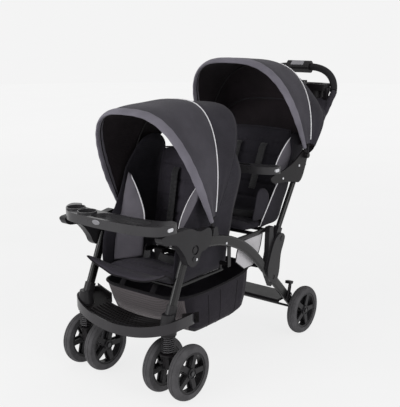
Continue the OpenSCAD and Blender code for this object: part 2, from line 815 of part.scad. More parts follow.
// Rows of cloth from bow to bow, drawn in between them
function bow_rows(rows) = [for (i = [0 : len(rows) - 2]) for (k = [0 : 4])
  let (b = mix(rows[i], rows[i + 1], k / 5), draw = 1 - 0.03 * sin(36 * k) * sin(36 * k))
  [b[0], b[1] * draw, b[2], b[3]]];

cloth_start = 46;
bow_steps = 28;
cloth_lift = bow_r + 0.9;

// Angles along a bow where the cloth has its points
function bow_angles(b) =
  let (t = bow_start(b, cloth_start))
  [for (j = [0 : bow_steps]) t + (180 - 2 * t) * j / bow_steps];

module canopy(pivot, bows) {
  lead = bows[0] - [3, 0, 0, 0];
  last = bows[len(bows) - 1];
  all = concat([lead], bow_rows(bows), [last, last + [2, 0, 0, 0]]);
  outer = [for (b = all) [for (t = bow_angles(b)) bow_point(pivot, b, t, cloth_lift + cloth_t)]];
  inner = [for (b = all) [for (t = bow_angles(b)) bow_point(pivot, b, t, cloth_lift)]];
  skin(outer, inner);
}

module bow(pivot, b) {
  t = bow_start(b, 6);
  angles = concat([t], bow_angles(b), [180 - t]);
  path = [for (a = angles) bow_point(pivot, b, a)];
  refs = [for (a = angles) [0, cos(b[0]), -sin(b[0])]];
  difference() {
    union() {
      path_rod(path, refs, bow_r, 6);
      both_sides() cross_rod(pivot, b[2] - bow_r, b[2] + bow_r, pivot_r + 6);
    }
    cross_rod(pivot, -400, 400, pivot_r + run_gap);
  }
}

module front_canopy_fabric() {
  color(cloth) canopy(front_pivot, [front_rim, front_mid, front_back]);
}

module front_canopy_rear_bow() {
  color(black) bow(front_pivot, front_back);
}

module front_canopy_rim_bow() {
  color(black) bow(front_pivot, front_rim);
}

module front_canopy_mid_bow() {
  color(black) bow(front_pivot, front_mid);
}

// Back wall of the rear canopy, in front of the push tubes and open over the backrest
module rear_wall() {
  lean = rear_last[0] + 2;
  hole = [lean, rear_mid_h - 214, frame_x - 67, 4];
  edge = [for (t = bow_angles(rear_last)) bow_point([0, 0], rear_last, t, cloth_lift + cloth_t)];
  gap = [for (t = bow_angles(hole)) bow_point([0, 0], hole, 180 - t)];
  flat = concat([for (p = edge) [p[0], norm([p[1], p[2]])]], [for (p = gap) [p[0], norm([p[1], p[2]])]]);
  translate(side(0, rear_pivot)) rotate([90 - lean, 0, 0]) translate([0, 0, -seat_gap - cloth_t])
    linear_extrude(cloth_t) polygon(flat);
}

module rear_canopy_fabric() {
  color(cloth) {
    canopy(rear_pivot, [rear_rim, rear_mid, rear_last]);
    rear_wall();
  }
}

module rear_canopy_rim_bow() {
  color(black) bow(rear_pivot, rear_rim);
}

module rear_canopy_mid_bow() {
  color(black) bow(rear_pivot, rear_mid);
}

// Push frame

module push_plane() {
  translate(side(0, push_bend)) rotate([push_high, 0, 0]) children();
}

module handle_corner(r, a0, a1) {
  translate([frame_x - handle_bend, handle_reach - handle_bend, 0]) rotate([0, 0, a0])
    rotate_extrude(angle = a1 - a0) translate([handle_bend, 0]) circle(r);
}

// Side run of the push tube, from the bracket up to the handle's corner
module push_side(r) {
  thin = r - lap_step / 2;
  low_end = push_bend - bend_t * low_dir;
  c = low_end + bend_r * square_dir;
  rod(side(frame_x, push_start), side(frame_x, low_end + lap * low_dir), thin);
  translate(side(frame_x, c)) rotate([90, 0, 90]) rotate([0, 0, push_high + 90])
    rotate_extrude(angle = push_low - push_high) translate([bend_r, 0]) circle(r);
  push_plane() {
    rod([frame_x, bend_t - lap, 0], [frame_x, handle_reach - handle_bend + lap, 0], thin);
    handle_corner(r, 0, 90);
  }
}

module push_loop(grow = 0) {
  r = push_r + grow;
  end = frame_x - handle_bend + lap;
  push_side(r);
  mirror([1, 0, 0]) push_side(r);
  push_plane() rod([-end, handle_reach, 0], [end, handle_reach, 0], r - lap_step / 2);
}

module push_tubes() {
  color(black) push_loop();
}

module push_brackets() {
  top = push_start + 58 * low_dir;
  color(grey) both_sides() difference() {
    side_plate(frame_x - push_r - 1, frame_x + push_r + 0.2) {
      polygon([bracket_low - 14 * square_dir, bracket_low + 14 * square_dir,
        top + 14 * square_dir, top - 14 * square_dir]);
      translate(fold) circle(15);
      polygon([fold + 15 * low_dir, fold - 15 * square_dir, push_start, top]);
    }
    rod(side(frame_x, push_start), side(frame_x, push_start + 120 * low_dir), push_r + 0.1);
    cross_rod(fold, 0, 400, fold_pin_r + run_gap);
  }
}

housing_half = frame_x - handle_bend - seat_gap;

module handle_grip() {
  color(black) push_plane() both_sides() difference() {
    handle_corner(grip_r, 14, 90);
    handle_corner(push_r + run_gap, 0, 90);
  }
}

module housing_bar(len, w, h, r) {
  rotate([90, 0, 90]) linear_extrude(len, center = true) round_rect(w, h, r);
}

trigger_top = 24;

module handle_housing() {
  color(grey) push_plane() translate([0, handle_reach, 0]) difference() {
    housing_bar(2 * housing_half, 44, 44, 14);
    rod([-200, 0, 0], [200, 0, 0], push_r + 0.1);
    translate([-30.4, -11.4, 14]) cube([60.8, 22.8, 30]);
  }
}

module fold_trigger() {
  color(silver) push_plane() translate([0, handle_reach, 0]) translate([-30, -11, 18]) cube([60, 22, 8]);
}

// Clamps of the parent tray on the push tubes
parent_at = push_bend + (handle_reach - 148) * high_dir;
parent_y = parent_at[0] + 5;
parent_z = parent_at[1] + parent_lift;
lid_hinge = [parent_y + 40, parent_z + 4];

module parent_tray() {
  deep = 58;
  color(black) {
    difference() {
      union() {
        translate([0, parent_y, parent_z - 26]) linear_extrude(26) polygon(smooth([[-196, -26],
          [-198, -6], [-186, 30], [-130, 44], [0, 46], [130, 44], [186, 30], [198, -6], [196, -26],
          [186, -38], [100, -43], [-100, -43], [-186, -38]]));
        both_sides() {
          translate([132, parent_y, parent_z - deep - 3]) cylinder(r = parent_cup_r + 3, h = deep);
          translate([190, parent_y - 32, parent_z - 62]) cube([frame_x - push_r - 0.2 - 190, 26, 46]);
          translate([64, lid_hinge[0] - 4, parent_z - 4]) cube([6, 8, 11.5]);
        }
      }
      both_sides() translate([132, parent_y, parent_z - deep]) cylinder(r = parent_cup_r, h = 200);
      translate([-72, parent_y - 32, parent_z - 20]) cube([144, 62, 60]);
      push_loop(0.3);
      push_plane() both_sides() handle_corner(grip_r + 1, 3, 90);
    }
    cross_rod(lid_hinge, -66, 66, 2);
  }
}

module parent_tray_lid() {
  color(grey) difference() {
    union() {
      translate([-60, parent_y - 36, parent_z + seat_gap]) cube([120, 74, 4]);
      cross_rod(lid_hinge, -60, 60, 3.6);
    }
    cross_rod(lid_hinge, -100, 100, 2 + run_gap);
  }
}

rear_hub_outline = smooth([[32, rear_tray_z - 14], [60, rear_tray_z - 34], [130, rear_tray_z - 40],
  [200, 640], [232, 634], [258, 652], [282, 700], [292, 735], [274, 756], [250, 748], [190, 716],
  [120, rear_tray_z + 6], [60, rear_tray_z - 2]]);

module rear_hubs() {
  clamp = push_bend + 52 * high_dir;
  color(grey) both_sides() {
    side_plate(frame_x + push_r + 0.4, hub_out) intersection() {
      polygon(rear_hub_outline);
      union() {
        translate([100, 400]) square([300, 500]);
        translate([0, 400]) square([200, rear_tray_z - 400]);
      }
    }
    difference() {
      side_plate(frame_x + 1, frame_x + push_r + 1)
        translate(clamp) rotate(push_high) square([50, 34], center = true);
      rod(side(frame_x, push_bend), side(frame_x, push_bend + 120 * high_dir), push_r + 0.1);
    }
    cross_rod(rear_pivot, hub_out - 1, mid_x + bow_r + 0.6, pivot_r);
    cross_rod(rear_pivot, mid_x + bow_r + 0.6, mid_x + bow_r + 2.6, pivot_r + 5);
  }
}

// Child trays

child_cups = [[-164, -568, 0], [-92, -585, 0]];
button_y = -546;
rear_button_y = 66;

module front_tray() {
  z = front_tray_z + seat_gap;
  x = hub_out + 3;
  color(grey) difference() {
    translate([0, 0, z]) union() {
      linear_extrude(tray_t) polygon(smooth([[x, -512], [x, -560], [x - 22, -596], [140, -620], [0, -628],
        [-118, -622], [-168, -606], [-206, -576], [8 - x, -544], [3 - x, -516], [-206, -502], [-188, -520],
        [-120, -538],
        [0, -542], [120, -538], [188, -520], [206, -502]], 5));
      for (p = child_cups) translate(p) cylinder(r = child_cup_r + 3, h = tray_t + 6);
    }
    for (p = child_cups) translate(p + [0, 0, z + 5]) cylinder(r = child_cup_r, h = 100);
    translate([0, 0, z + tray_t - 12]) linear_extrude(40) polygon(smooth([[-48, -612], [60, -612],
      [150, -600], [176, -574], [150, -552], [40, -554], [-40, -556]]));
    translate([-tray_pivot[0], tray_pivot[1], z - 1]) cylinder(r = 6 + run_gap, h = 15);
    translate([x - 9, button_y, z + tray_t / 2]) rotate([0, 90, 0]) linear_extrude(30) oval(12.8, 26.8);
  }
}

module tray_button() {
  rotate([0, 90, 0]) linear_extrude(8) oval(12, 26);
}

module front_tray_button() {
  color(silver) translate([hub_out - 2, button_y, front_tray_z + seat_gap + tray_t / 2]) tray_button();
}

module rear_tray() {
  z = rear_tray_z + seat_gap;
  x = hub_out + 3;
  color(grey) difference() {
    translate([0, 0, z]) linear_extrude(tray_t - 4) polygon(smooth([[x, 92], [x, 58], [x - 24, 34],
      [140, 14], [0, 4], [-140, 14], [24 - x, 34], [-x, 58], [-x, 92], [-208, 96], [-190, 84],
      [-120, 70], [0, 64], [120, 70], [190, 84], [208, 96]], 5));
    translate([0, 0, z + tray_t - 12]) linear_extrude(40) polygon(smooth([[-120, 30], [0, 20], [120, 30],
      [120, 56], [0, 50], [-120, 56]]));
    translate([x - 9, rear_button_y, z + tray_t / 2 - 2]) rotate([0, 90, 0])
      linear_extrude(30) oval(12.8, 26.8);
  }
}

module rear_tray_button() {
  z = rear_tray_z + seat_gap + tray_t / 2 - 2;
  color(silver) translate([hub_out - 2, rear_button_y, z]) tray_button();
}

arch_legs();
fold_joints();
hub_plates();
seat_tubes();
rear_axle();
platform();
front_seat_pad();
rear_seat_pad();
side_panels();
harness_buckles();
basket();
front_canopy_rear_bow();
front_canopy_fabric();
front_legs();
footrest();
caster_housings();
stem();  // stem_right
mirror([1, 0, 0]) stem();  // stem_left
spring();  // spring_right
mirror([1, 0, 0]) spring();  // spring_left
fork();  // fork_right
mirror([1, 0, 0]) fork();  // fork_left
front_axle();  // axle_right
mirror([1, 0, 0]) front_axle();  // axle_left
color(grey) front_wheel_at(1, 1) tyre();  // tyre_front_right_outer
color(grey) front_wheel_at(1, -1) tyre();  // tyre_front_right_inner
color(grey) front_wheel_at(-1, 1) tyre();  // tyre_front_left_outer
color(grey) front_wheel_at(-1, -1) tyre();  // tyre_front_left_inner
color(grey) rear_wheel_at(1) tyre();  // tyre_rear_right
color(grey) rear_wheel_at(-1) tyre();  // tyre_rear_left
color(black) front_wheel_at(1, 1) rim();  // rim_front_right_outer
color(black) front_wheel_at(1, -1) rim();  // rim_front_right_inner
color(black) front_wheel_at(-1, 1) rim();  // rim_front_left_outer
color(black) front_wheel_at(-1, -1) rim();  // rim_front_left_inner
color(black) rear_wheel_at(1) rim();  // rim_rear_right
color(black) rear_wheel_at(-1) rim();  // rim_rear_left
brake_pedal();  // brake_pedal_right
mirror([1, 0, 0]) brake_pedal();  // brake_pedal_left
push_tubes();
push_brackets();
handle_grip();
handle_housing();
parent_tray();
rear_hubs();
rear_back_frame();
rear_backrest_pad();
rear_canopy_fabric();
fold_trigger();
parent_tray_lid();
front_back_board();
front_backrest_pad();
front_canopy_rim_bow();
front_canopy_mid_bow();
rear_canopy_rim_bow();
rear_canopy_mid_bow();
front_tray();
rear_tray();
front_tray_button();
rear_tray_button();
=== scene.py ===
"""Looks of a tandem stroller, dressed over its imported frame.

Metres, in the frame of the solids: the front faces -Y and Z is up.
"""

import math

import bmesh
import bpy
import numpy as np
from mathutils import Matrix, Vector


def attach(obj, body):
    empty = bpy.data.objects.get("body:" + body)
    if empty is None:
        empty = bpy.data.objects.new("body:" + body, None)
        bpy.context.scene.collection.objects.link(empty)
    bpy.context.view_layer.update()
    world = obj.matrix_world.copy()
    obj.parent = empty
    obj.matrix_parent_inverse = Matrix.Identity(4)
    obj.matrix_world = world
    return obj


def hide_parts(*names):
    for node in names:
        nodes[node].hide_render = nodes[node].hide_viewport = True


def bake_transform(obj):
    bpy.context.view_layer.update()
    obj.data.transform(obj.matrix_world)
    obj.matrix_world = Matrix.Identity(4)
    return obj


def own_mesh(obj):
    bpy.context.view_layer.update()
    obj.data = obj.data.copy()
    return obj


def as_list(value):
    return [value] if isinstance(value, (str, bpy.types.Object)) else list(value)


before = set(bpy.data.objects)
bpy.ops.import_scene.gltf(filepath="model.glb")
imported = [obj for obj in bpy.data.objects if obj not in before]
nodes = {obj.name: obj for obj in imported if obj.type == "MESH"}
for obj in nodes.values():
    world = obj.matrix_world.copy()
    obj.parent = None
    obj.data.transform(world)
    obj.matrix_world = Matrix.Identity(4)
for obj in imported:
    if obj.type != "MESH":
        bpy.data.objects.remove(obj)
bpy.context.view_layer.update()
SIDES = ((1, "right"), (-1, "left"))

# Camera: degrees for its direction, millimetres for its lens
AZIMUTH, ELEVATION, DISTANCE = 37.77, 15.42, 2.9278
TARGET = Vector((0.0, -0.060, 0.450))
SENSOR, LENS = 36.0, 67.28
SHIFT_X, SHIFT_Y = -0.0132, 0.0737


def make_camera():
    a, e = math.radians(AZIMUTH), math.radians(ELEVATION)
    back = Vector((math.sin(a) * math.cos(e), -math.cos(a) * math.cos(e), math.sin(e)))
    data = bpy.data.cameras.new("camera")
    data.sensor_width = SENSOR
    data.lens = LENS
    data.shift_x = SHIFT_X
    data.shift_y = SHIFT_Y
    cam = bpy.data.objects.new("camera", data)
    cam.location = TARGET + back * DISTANCE
    cam.rotation_mode = "QUATERNION"
    cam.rotation_quaternion = (-back).to_track_quat("-Z", "Y")
    bpy.context.scene.collection.objects.link(cam)
    bpy.context.scene.camera = cam


make_camera()

# Materials
SHEEN_ROUGH, COAT_ROUGH, NOISE_ROUGH = 0.45, 0.22, 0.55
THREAD_WOBBLE = 0.4


def lin(r, g, b):
    """sRGB 0 to 255 as linear colour."""
    out = []
    for c in (r / 255, g / 255, b / 255):
        out.append(c / 12.92 if c <= 0.04045 else ((c + 0.055) / 1.055) ** 2.4)
    return (*out, 1.0)


def shade(c, k):
    """Colour c, k times as bright."""
    return (c[0] * k, c[1] * k, c[2] * k, 1.0)


class Surface:
    """One procedural material: a Principled shader fed by object-space textures."""

    def __init__(self, name, rough, specular, metallic=0.0, sheen=0.0, coat=0.0):
        self.mat = bpy.data.materials.new(name)
        self.mat.use_nodes = True
        self.tree = self.mat.node_tree
        self.bsdf = self.tree.nodes["Principled BSDF"]
        values = {"Roughness": rough, "Specular IOR Level": specular, "Metallic": metallic,
                  "Sheen Weight": sheen, "Sheen Roughness": SHEEN_ROUGH,
                  "Coat Weight": coat, "Coat Roughness": COAT_ROUGH}
        for socket, value in values.items():
            self.bsdf.inputs[socket].default_value = value
        self.coord = self.tree.nodes.new("ShaderNodeTexCoord").outputs["Object"]
        self.bump_chain = None

    def node(self, kind, **values):
        """New node; each value goes to the socket of that name, or else to the attribute."""
        n = self.tree.nodes.new(kind)
        for key, value in values.items():
            if key in n.inputs:
                n.inputs[key].default_value = value
            else:
                setattr(n, key, value)
        return n

    def link(self, a, b):
        self.tree.links.new(a, b)

    def combine(self, operation, a, b):
        m = self.node("ShaderNodeMath", operation=operation)
        self.link(a, m.inputs[0])
        self.link(b, m.inputs[1])
        return m.outputs[0]

    def map_range(self, fac, **ends):
        """fac mapped from one range to another."""
        m = self.node("ShaderNodeMapRange")
        for key, value in ends.items():
            m.inputs[key.replace("_", " ").title()].default_value = value
        self.link(fac, m.inputs["Value"])
        return m.outputs["Result"]

    def noise(self, scale, detail=3.0, stretch=None):
        n = self.node("ShaderNodeTexNoise", Scale=scale, Detail=detail, Roughness=NOISE_ROUGH)
        coord = self.coord
        if stretch:
            m = self.node("ShaderNodeMapping", Scale=stretch)
            self.link(coord, m.inputs["Vector"])
            coord = m.outputs["Vector"]
        self.link(coord, n.inputs["Vector"])
        return n.outputs["Fac"]

    def weave(self, period):
        """Crossed threads, as the sum of pairwise products of three band waves."""
        waves = []
        for axis in "XYZ":
            # At scale 1 the wave texture has 20 bands in 2 pi metres
            w = self.node("ShaderNodeTexWave", bands_direction=axis,
                          Scale=2 * math.pi / (20 * period), Distortion=THREAD_WOBBLE)
            self.link(self.coord, w.inputs["Vector"])
            waves.append(w.outputs["Fac"])
        x, y, z = waves
        both = self.combine("ADD", self.combine("MULTIPLY", x, y), self.combine("MULTIPLY", y, z))
        return self.combine("ADD", both, self.combine("MULTIPLY", z, x))

    def color(self, fac, dark, light, lo=0.35, hi=0.65):
        r = self.node("ShaderNodeValToRGB")
        ends = r.color_ramp.elements
        ends[0].position, ends[0].color = lo, dark
        ends[1].position, ends[1].color = hi, light
        self.link(fac, r.inputs["Fac"])
        self.link(r.outputs["Color"], self.bsdf.inputs["Base Color"])

    def tone(self, rgb, spread, scale, detail=3.0):
        """Base colour that drifts a little darker and lighter than rgb."""
        c = lin(*rgb)
        self.color(self.noise(scale, detail), shade(c, 1 - spread), shade(c, 1 + spread))

    def roughness(self, fac, low, high):
        self.link(self.map_range(fac, to_min=low, to_max=high), self.bsdf.inputs["Roughness"])

    def bump(self, height, strength, distance):
        b = self.node("ShaderNodeBump", Strength=strength, Distance=distance)
        self.link(height, b.inputs["Height"])
        if self.bump_chain:
            self.link(self.bump_chain, b.inputs["Normal"])
        self.bump_chain = b.outputs["Normal"]
        self.link(self.bump_chain, self.bsdf.inputs["Normal"])


def cloth_material(name, rgb, spread=0.16, period=0.0022, sheen=0.05):
    rough, swing = 0.85, 0.08
    s = Surface(name, rough, specular=0.14, sheen=sheen)
    s.tone(rgb, spread, scale=9.0, detail=4.0)
    s.roughness(s.noise(60.0), rough - swing, rough + swing)
    s.bump(s.weave(period), strength=0.35, distance=0.0005)
    s.bump(s.noise(34.0, detail=4.0), strength=0.22, distance=0.004)
    return s.mat


def plastic_material(name, rgb, rough, grain=900.0, coat=0.0, relief=0.10):
    s = Surface(name, rough, specular=0.17, coat=coat)
    s.tone(rgb, spread=0.08, scale=14.0, detail=4.0)
    s.roughness(s.noise(45.0, detail=5.0), rough - 0.06, rough + 0.08)
    s.bump(s.noise(grain, detail=2.0), strength=relief, distance=0.0003)
    return s.mat


def metal_material(name, rgb, rough, metallic, brushed=None, coat=0.0):
    s = Surface(name, rough, specular=0.2, metallic=metallic, coat=coat)
    s.tone(rgb, spread=0.08, scale=18.0)
    s.roughness(s.noise(60.0, detail=4.0, stretch=brushed), rough - 0.06, rough + 0.08)
    s.bump(s.noise(700.0, detail=2.0, stretch=brushed), strength=0.06, distance=0.0002)
    return s.mat


def net_material(name, thread, hole):
    """Open net: pale threads round small dark holes."""
    s = Surface(name, rough=0.8, specular=0.25, sheen=0.15)
    net = s.weave(period=0.004)
    s.color(net, lin(*hole), lin(*thread), lo=0.35, hi=0.75)
    s.roughness(s.noise(50.0), 0.72, 0.9)
    s.bump(net, strength=0.5, distance=0.0008)
    return s.mat


def webbing_material(name, rgb):
    s = Surface(name, rough=0.62, specular=0.4, sheen=0.2)
    s.tone(rgb, spread=0.15, scale=30.0)
    s.roughness(s.noise(80.0), 0.52, 0.7)
    s.bump(s.weave(period=0.003), strength=0.6, distance=0.0008)
    return s.mat


def tyre_material(name, rgb):
    s = Surface(name, rough=0.9, specular=0.25)
    s.tone(rgb, spread=0.18, scale=26.0, detail=5.0)
    s.roughness(s.noise(90.0), 0.8, 0.97)
    s.bump(s.noise(420.0, detail=4.0), strength=0.3, distance=0.0008)
    return s.mat


MAT = {
    "canopy": cloth_material("canopy_cloth", (64, 62, 68)),
    # Painted shade: this darker copy of the canopy cloth stands in for the shade on the canopies' rear panels
    # and on the rear canopy's back
    "canopy_painted_shade": cloth_material("canopy_cloth_painted_shade", (45, 43, 49)),
    "band": cloth_material("rim_binding", (108, 105, 114), sheen=0.1),
    "lining": cloth_material("canopy_lining", (36, 31, 34)),
    "seat": cloth_material("seat_cloth", (54, 51, 58)),
    "seat_dark": cloth_material("seat_cloth_dark", (42, 40, 46)),
    "wing": cloth_material("wing_cloth", (98, 95, 102)),
    "basket": cloth_material("basket_cloth", (35, 32, 38)),
    "piping": cloth_material("white_piping", (236, 235, 238), spread=0.04, period=0.0015),
    "hem": cloth_material("dark_hem", (24, 22, 25)),
    "net_pale": net_material("pale_net", (206, 204, 207), (176, 174, 178)),
    "net_grey": net_material("grey_net", (98, 92, 94), (76, 71, 73)),
    "webbing": webbing_material("black_webbing", (26, 25, 28)),
    "paint": metal_material("black_paint", (20, 19, 20), 0.22, metallic=0.0, coat=0.22),
    "grey": plastic_material("grey_plastic", (36, 35, 37), 0.36, coat=0.05),
    "tray": plastic_material("tray_plastic", (52, 51, 53), 0.28, coat=0.28, relief=0.02),
    "black": plastic_material("black_plastic", (23, 21, 23), 0.44),
    "deep": plastic_material("deep_black_plastic", (20, 18, 19), 0.55),
    "rim": plastic_material("rim_plastic", (38, 37, 39), 0.42),
    "gloss": plastic_material("gloss_edge_plastic", (40, 38, 41), 0.22, coat=0.35, relief=0.03),
    "tyre": tyre_material("foam_tyre", (74, 73, 75)),
    "steel": metal_material("axle_steel", (74, 74, 76), 0.34, metallic=0.6, brushed=(1, 30, 30)),
    "spring": metal_material("spring_wire", (46, 45, 47), 0.34, metallic=0.4),
    "silver": metal_material("silver_button", (214, 214, 218), 0.3, metallic=0.6),
    "dull": metal_material("dull_silver", (128, 127, 131), 0.42, metallic=0.3),
    "grip": plastic_material("foam_grip", (30, 29, 31), 0.82, grain=500.0),
}

# Looks of the frame's own nodes that are not black plastic
NODE_LOOK = {
    "paint": ["arch_legs", "front_legs", "seat_tubes", "push_tubes", "rear_axle"],
    "grey": ["fold_joints", "hub_plates", "push_brackets", "caster_housings"],
    "tray": ["front_tray", "rear_tray", "parent_tray_lid"],
    "steel": ["axle_right", "axle_left"],
    "spring": ["spring_right", "spring_left"],
    "silver": ["front_tray_button", "rear_tray_button"],
    "dull": ["fold_trigger"],
    "grip": ["handle_grip"],
    "tyre": [n for n in nodes if n.startswith("tyre_")],
    "rim": [n for n in nodes if n.startswith("rim_")],
}


def wear(data, *looks):
    """Gives a mesh these materials and no other."""
    data.materials.clear()
    for look in looks:
        data.materials.append(MAT[look])


for member in nodes:
    wear(nodes[member].data, "black")
for look, members in NODE_LOOK.items():
    for member in members:
        wear(nodes[member].data, look)

# Rounded edges on moulded nodes, by the width of their bevel
SOFT_EDGES = {
    0.004: ["front_tray", "rear_tray"],
    0.002: ["hub_plates", "fold_joints", "handle_housing", "footrest", "parent_tray", "platform"],
    0.0015: ["rear_hubs", "brake_pedal_right", "brake_pedal_left"],
    0.0012: ["parent_tray_lid"],
}
SOFT_WELD, SOFT_SEGMENTS, SOFT_ANGLE = 2e-5, 2, 38


def soften(node, width):
    """Rounds the edges of a node by modifiers alone."""
    stack = nodes[node].modifiers
    stack.new("weld", "WELD").merge_threshold = SOFT_WELD
    bevel = stack.new("soft_edges", "BEVEL")
    bevel.width = width
    bevel.segments = SOFT_SEGMENTS
    bevel.limit_method = "ANGLE"
    bevel.angle_limit = math.radians(SOFT_ANGLE)
    bevel.use_clamp_overlap = True
    stack.new("even_normals", "WEIGHTED_NORMAL")


for width, members in SOFT_EDGES.items():
    for member in members:
        soften(member, width)

# Mesh helpers
SAME_POINT, FLAT_FILL = 1e-6, 0.8
WEB_THICK, WEB_FLAT, WEB_SIDE = 0.003, 0.94, 0.4


def new_object(name, verts, faces, mats, index=None, weld=False):
    """Smooth object with its faces turned outward. index gives each face's place in mats."""
    mesh = bpy.data.meshes.new(name)
    mesh.from_pydata([tuple(map(float, v)) for v in verts], [], faces)
    wear(mesh, *mats)
    if index is not None:
        mesh.polygons.foreach_set("material_index", index)
    bm = bmesh.new()
    bm.from_mesh(mesh)
    if weld:
        bmesh.ops.remove_doubles(bm, verts=bm.verts, dist=SAME_POINT)
    bmesh.ops.recalc_face_normals(bm, faces=bm.faces)
    bm.to_mesh(mesh)
    bm.free()
    mesh.polygons.foreach_set("use_smooth", [True] * len(mesh.polygons))
    mesh.update()
    o = bpy.data.objects.new(name, mesh)
    bpy.context.scene.collection.objects.link(o)
    return o


def unit(rows):
    """Each row scaled to length one."""
    return rows / np.linalg.norm(rows, axis=1, keepdims=True)


def grid_normals(p):
    """Unit normals of a grid of points."""
    n = np.cross(np.gradient(p, axis=0), np.gradient(p, axis=1))
    return n / np.maximum(np.linalg.norm(n, axis=2, keepdims=True), 1e-12)


def ring_strip(n, a, b):
    """Quads between two closed rings of n points, whose first vertices are a and b."""
    return [(a + k, a + (k + 1) % n, b + (k + 1) % n, b + k) for k in range(n)]


def ring_faces(rings, n, first=0):
    """Quads between closed rings of n points that follow each other from vertex first."""
    return [f for i in range(rings - 1) for f in ring_strip(n, first + i * n, first + (i + 1) * n)]


def end_faces(rings, n):
    """The two faces that close a stack of rings."""
    return [tuple(range(n)), tuple((rings - 1) * n + k for k in range(n))]


def shell(name, outer, inner, mats, pick=lambda i, j: 0, ring=False):
    """Closed shell between two grids of points, each row a ring where ring is set.

    pick(i, j) gives the material of an outer or edge face; the inside has the last one.
    """
    m, n = outer.shape[:2]
    verts = np.concatenate([outer.reshape(-1, 3), inner.reshape(-1, 3)])
    o, faces, index = m * n, [], []
    for i in range(m - 1):
        for j in range(n if ring else n - 1):
            k = (j + 1) % n
            quad = (i * n + j, i * n + k, (i + 1) * n + k, (i + 1) * n + j)
            faces.append(quad)
            index.append(pick(i, j))
            faces.append(tuple(o + q for q in reversed(quad)))
            index.append(len(mats) - 1)
    edges = [[(0, j) for j in range(n)], [(m - 1, j) for j in range(n)]]
    if not ring:
        edges += [[(i, 0) for i in range(m)], [(i, n - 1) for i in range(m)]]
    for line in edges:
        pairs = list(zip(line, line[1:])) + ([(line[-1], line[0])] if ring else [])
        for a, b in pairs:
            p, q = a[0] * n + a[1], b[0] * n + b[1]
            faces.append((p, q, q + o, p + o))
            index.append(pick(min(a[0], m - 2), min(a[1], n - 2)))
    return new_object(name, verts, faces, mats, index)


def tube(name, path, radius, mat, sides=8, closed=False):
    """Round tube along a path."""
    path = np.asarray(path, float)
    m = len(path)
    along = unit(np.roll(path, -1, 0) - np.roll(path, 1, 0) if closed else np.gradient(path, axis=0))
    one = np.zeros_like(path)
    last = np.array((0.0, 0.0, 1.0))
    for i in range(m):
        v = last - along[i] * (last @ along[i])
        if np.linalg.norm(v) < SAME_POINT:
            v = np.cross(along[i], (1.0, 0.0, 0.3))
        last = v / np.linalg.norm(v)
        one[i] = last
    two = np.cross(along, one)
    turn = [2 * math.pi * k / sides for k in range(sides)]
    verts = [path[i] + radius * (math.cos(a) * one[i] + math.sin(a) * two[i])
             for i in range(m) for a in turn]
    faces = ring_faces(m, sides)
    faces += ring_strip(sides, (m - 1) * sides, 0) if closed else end_faces(m, sides)
    return new_object(name, verts, faces, [mat])


def spline(points, per=8, closed=False):
    """Smooth curve through points."""
    p = np.asarray(points, float)
    n = len(p)
    out = []
    for i in range(n if closed else n - 1):
        if closed:
            a, b, c, d = p[(i - 1) % n], p[i], p[(i + 1) % n], p[(i + 2) % n]
        else:
            a, b, c, d = p[max(i - 1, 0)], p[i], p[i + 1], p[min(i + 2, n - 1)]
        for k in range(per):
            t = k / per
            out.append(0.5 * (2 * b + (c - a) * t + (2 * a - 5 * b + 4 * c - d) * t * t
                              + (3 * b - a - 3 * c + d) * t ** 3))
    if not closed:
        out.append(p[-1])
    return np.array(out)


def strap(name, path, across, width, mat="webbing"):
    """Flat webbing with chamfered edges along a path. across is its width direction."""
    path = np.asarray(path, float)
    across = np.asarray(across, float)
    along = unit(np.gradient(path, axis=0))
    wide = unit(across - along * (across * along).sum(1, keepdims=True))
    up = np.cross(wide, along)
    w, t = width / 2, WEB_THICK / 2
    flat, side = w * WEB_FLAT, t * WEB_SIDE
    section = [(-w, -side), (-flat, -t), (flat, -t), (w, -side), (w, side), (flat, t), (-flat, t), (-w, side)]
    rings, n = len(path), len(section)
    verts = [path[i] + a * wide[i] + b * up[i] for i in range(rings) for a, b in section]
    return new_object(name, verts, ring_faces(rings, n) + end_faces(rings, n), [mat])


def area_of(o):
    return sum(p.area for p in o.data.polygons)


def settle(body, slot, *pieces):
    """Pieces that ride on one body. The slot argument is not used."""
    for p in pieces:
        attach(p, body)


def declare_sheet(o, with_pieces=()):
    """Works out a sheet's own area, half the closed shell's, and keeps nothing."""
    area = area_of(o) / 2
    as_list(with_pieces)


# Canopies: a pivot is (y, z), a bow is (degrees of tilt, reach, half width, squareness)
BOW = {
    "front": {"pivot": (-0.288, 0.548),
              "bows": [(-25.2, 0.442, 0.2116, 3.0), (11.0, 0.424, 0.2047, 2.5),
                       (30.8, 0.463, 0.1978, 3.0)]},
    "rear": {"pivot": (0.272, 0.735),
             "bows": [(-26.4, 0.398, 0.2377, 3.0), (8.6, 0.344, 0.2446, 2.5),
                      (41.0, 0.255, 0.2515, 4.0)]},
}
TAIL = np.array((2.0, 0.0, 0.0, 0.0))
# The middle look is the darker canopy cloth, painted shade on each canopy's rear panel
CANOPY_LOOK = ["canopy", "canopy_painted_shade", "lining"]
# LIFT is from a bow's middle line to the underside of its cloth
LIFT, CLOTH = 0.0041, 0.0024
CLOTH_START, BAND_START = 0.046, 0.034
BOW_STEPS, ROWS, COLUMNS = 400, 14, 121
SAG, RIPPLE, SWAY = 0.03, 0.0022, 0.0016
PIPING, PIPING_RISE, PIPING_STEPS = 0.0021, 0.0022, 160
HEM, HEM_DROP, HEM_STEPS = 0.0026, 0.0012, 140
BAND_STEPS, BAND_SIDES = 150, 20
BAND_GAP, BAND_WALL, BAND_FOLD = 0.0002, 0.0017, 0.04
BAND_OUTER, BAND_INNER = 0.0062, 0.0046
BAND_NEAR, BAND_FAR = (0.03, 0.0075), (0.16, 0.0180)


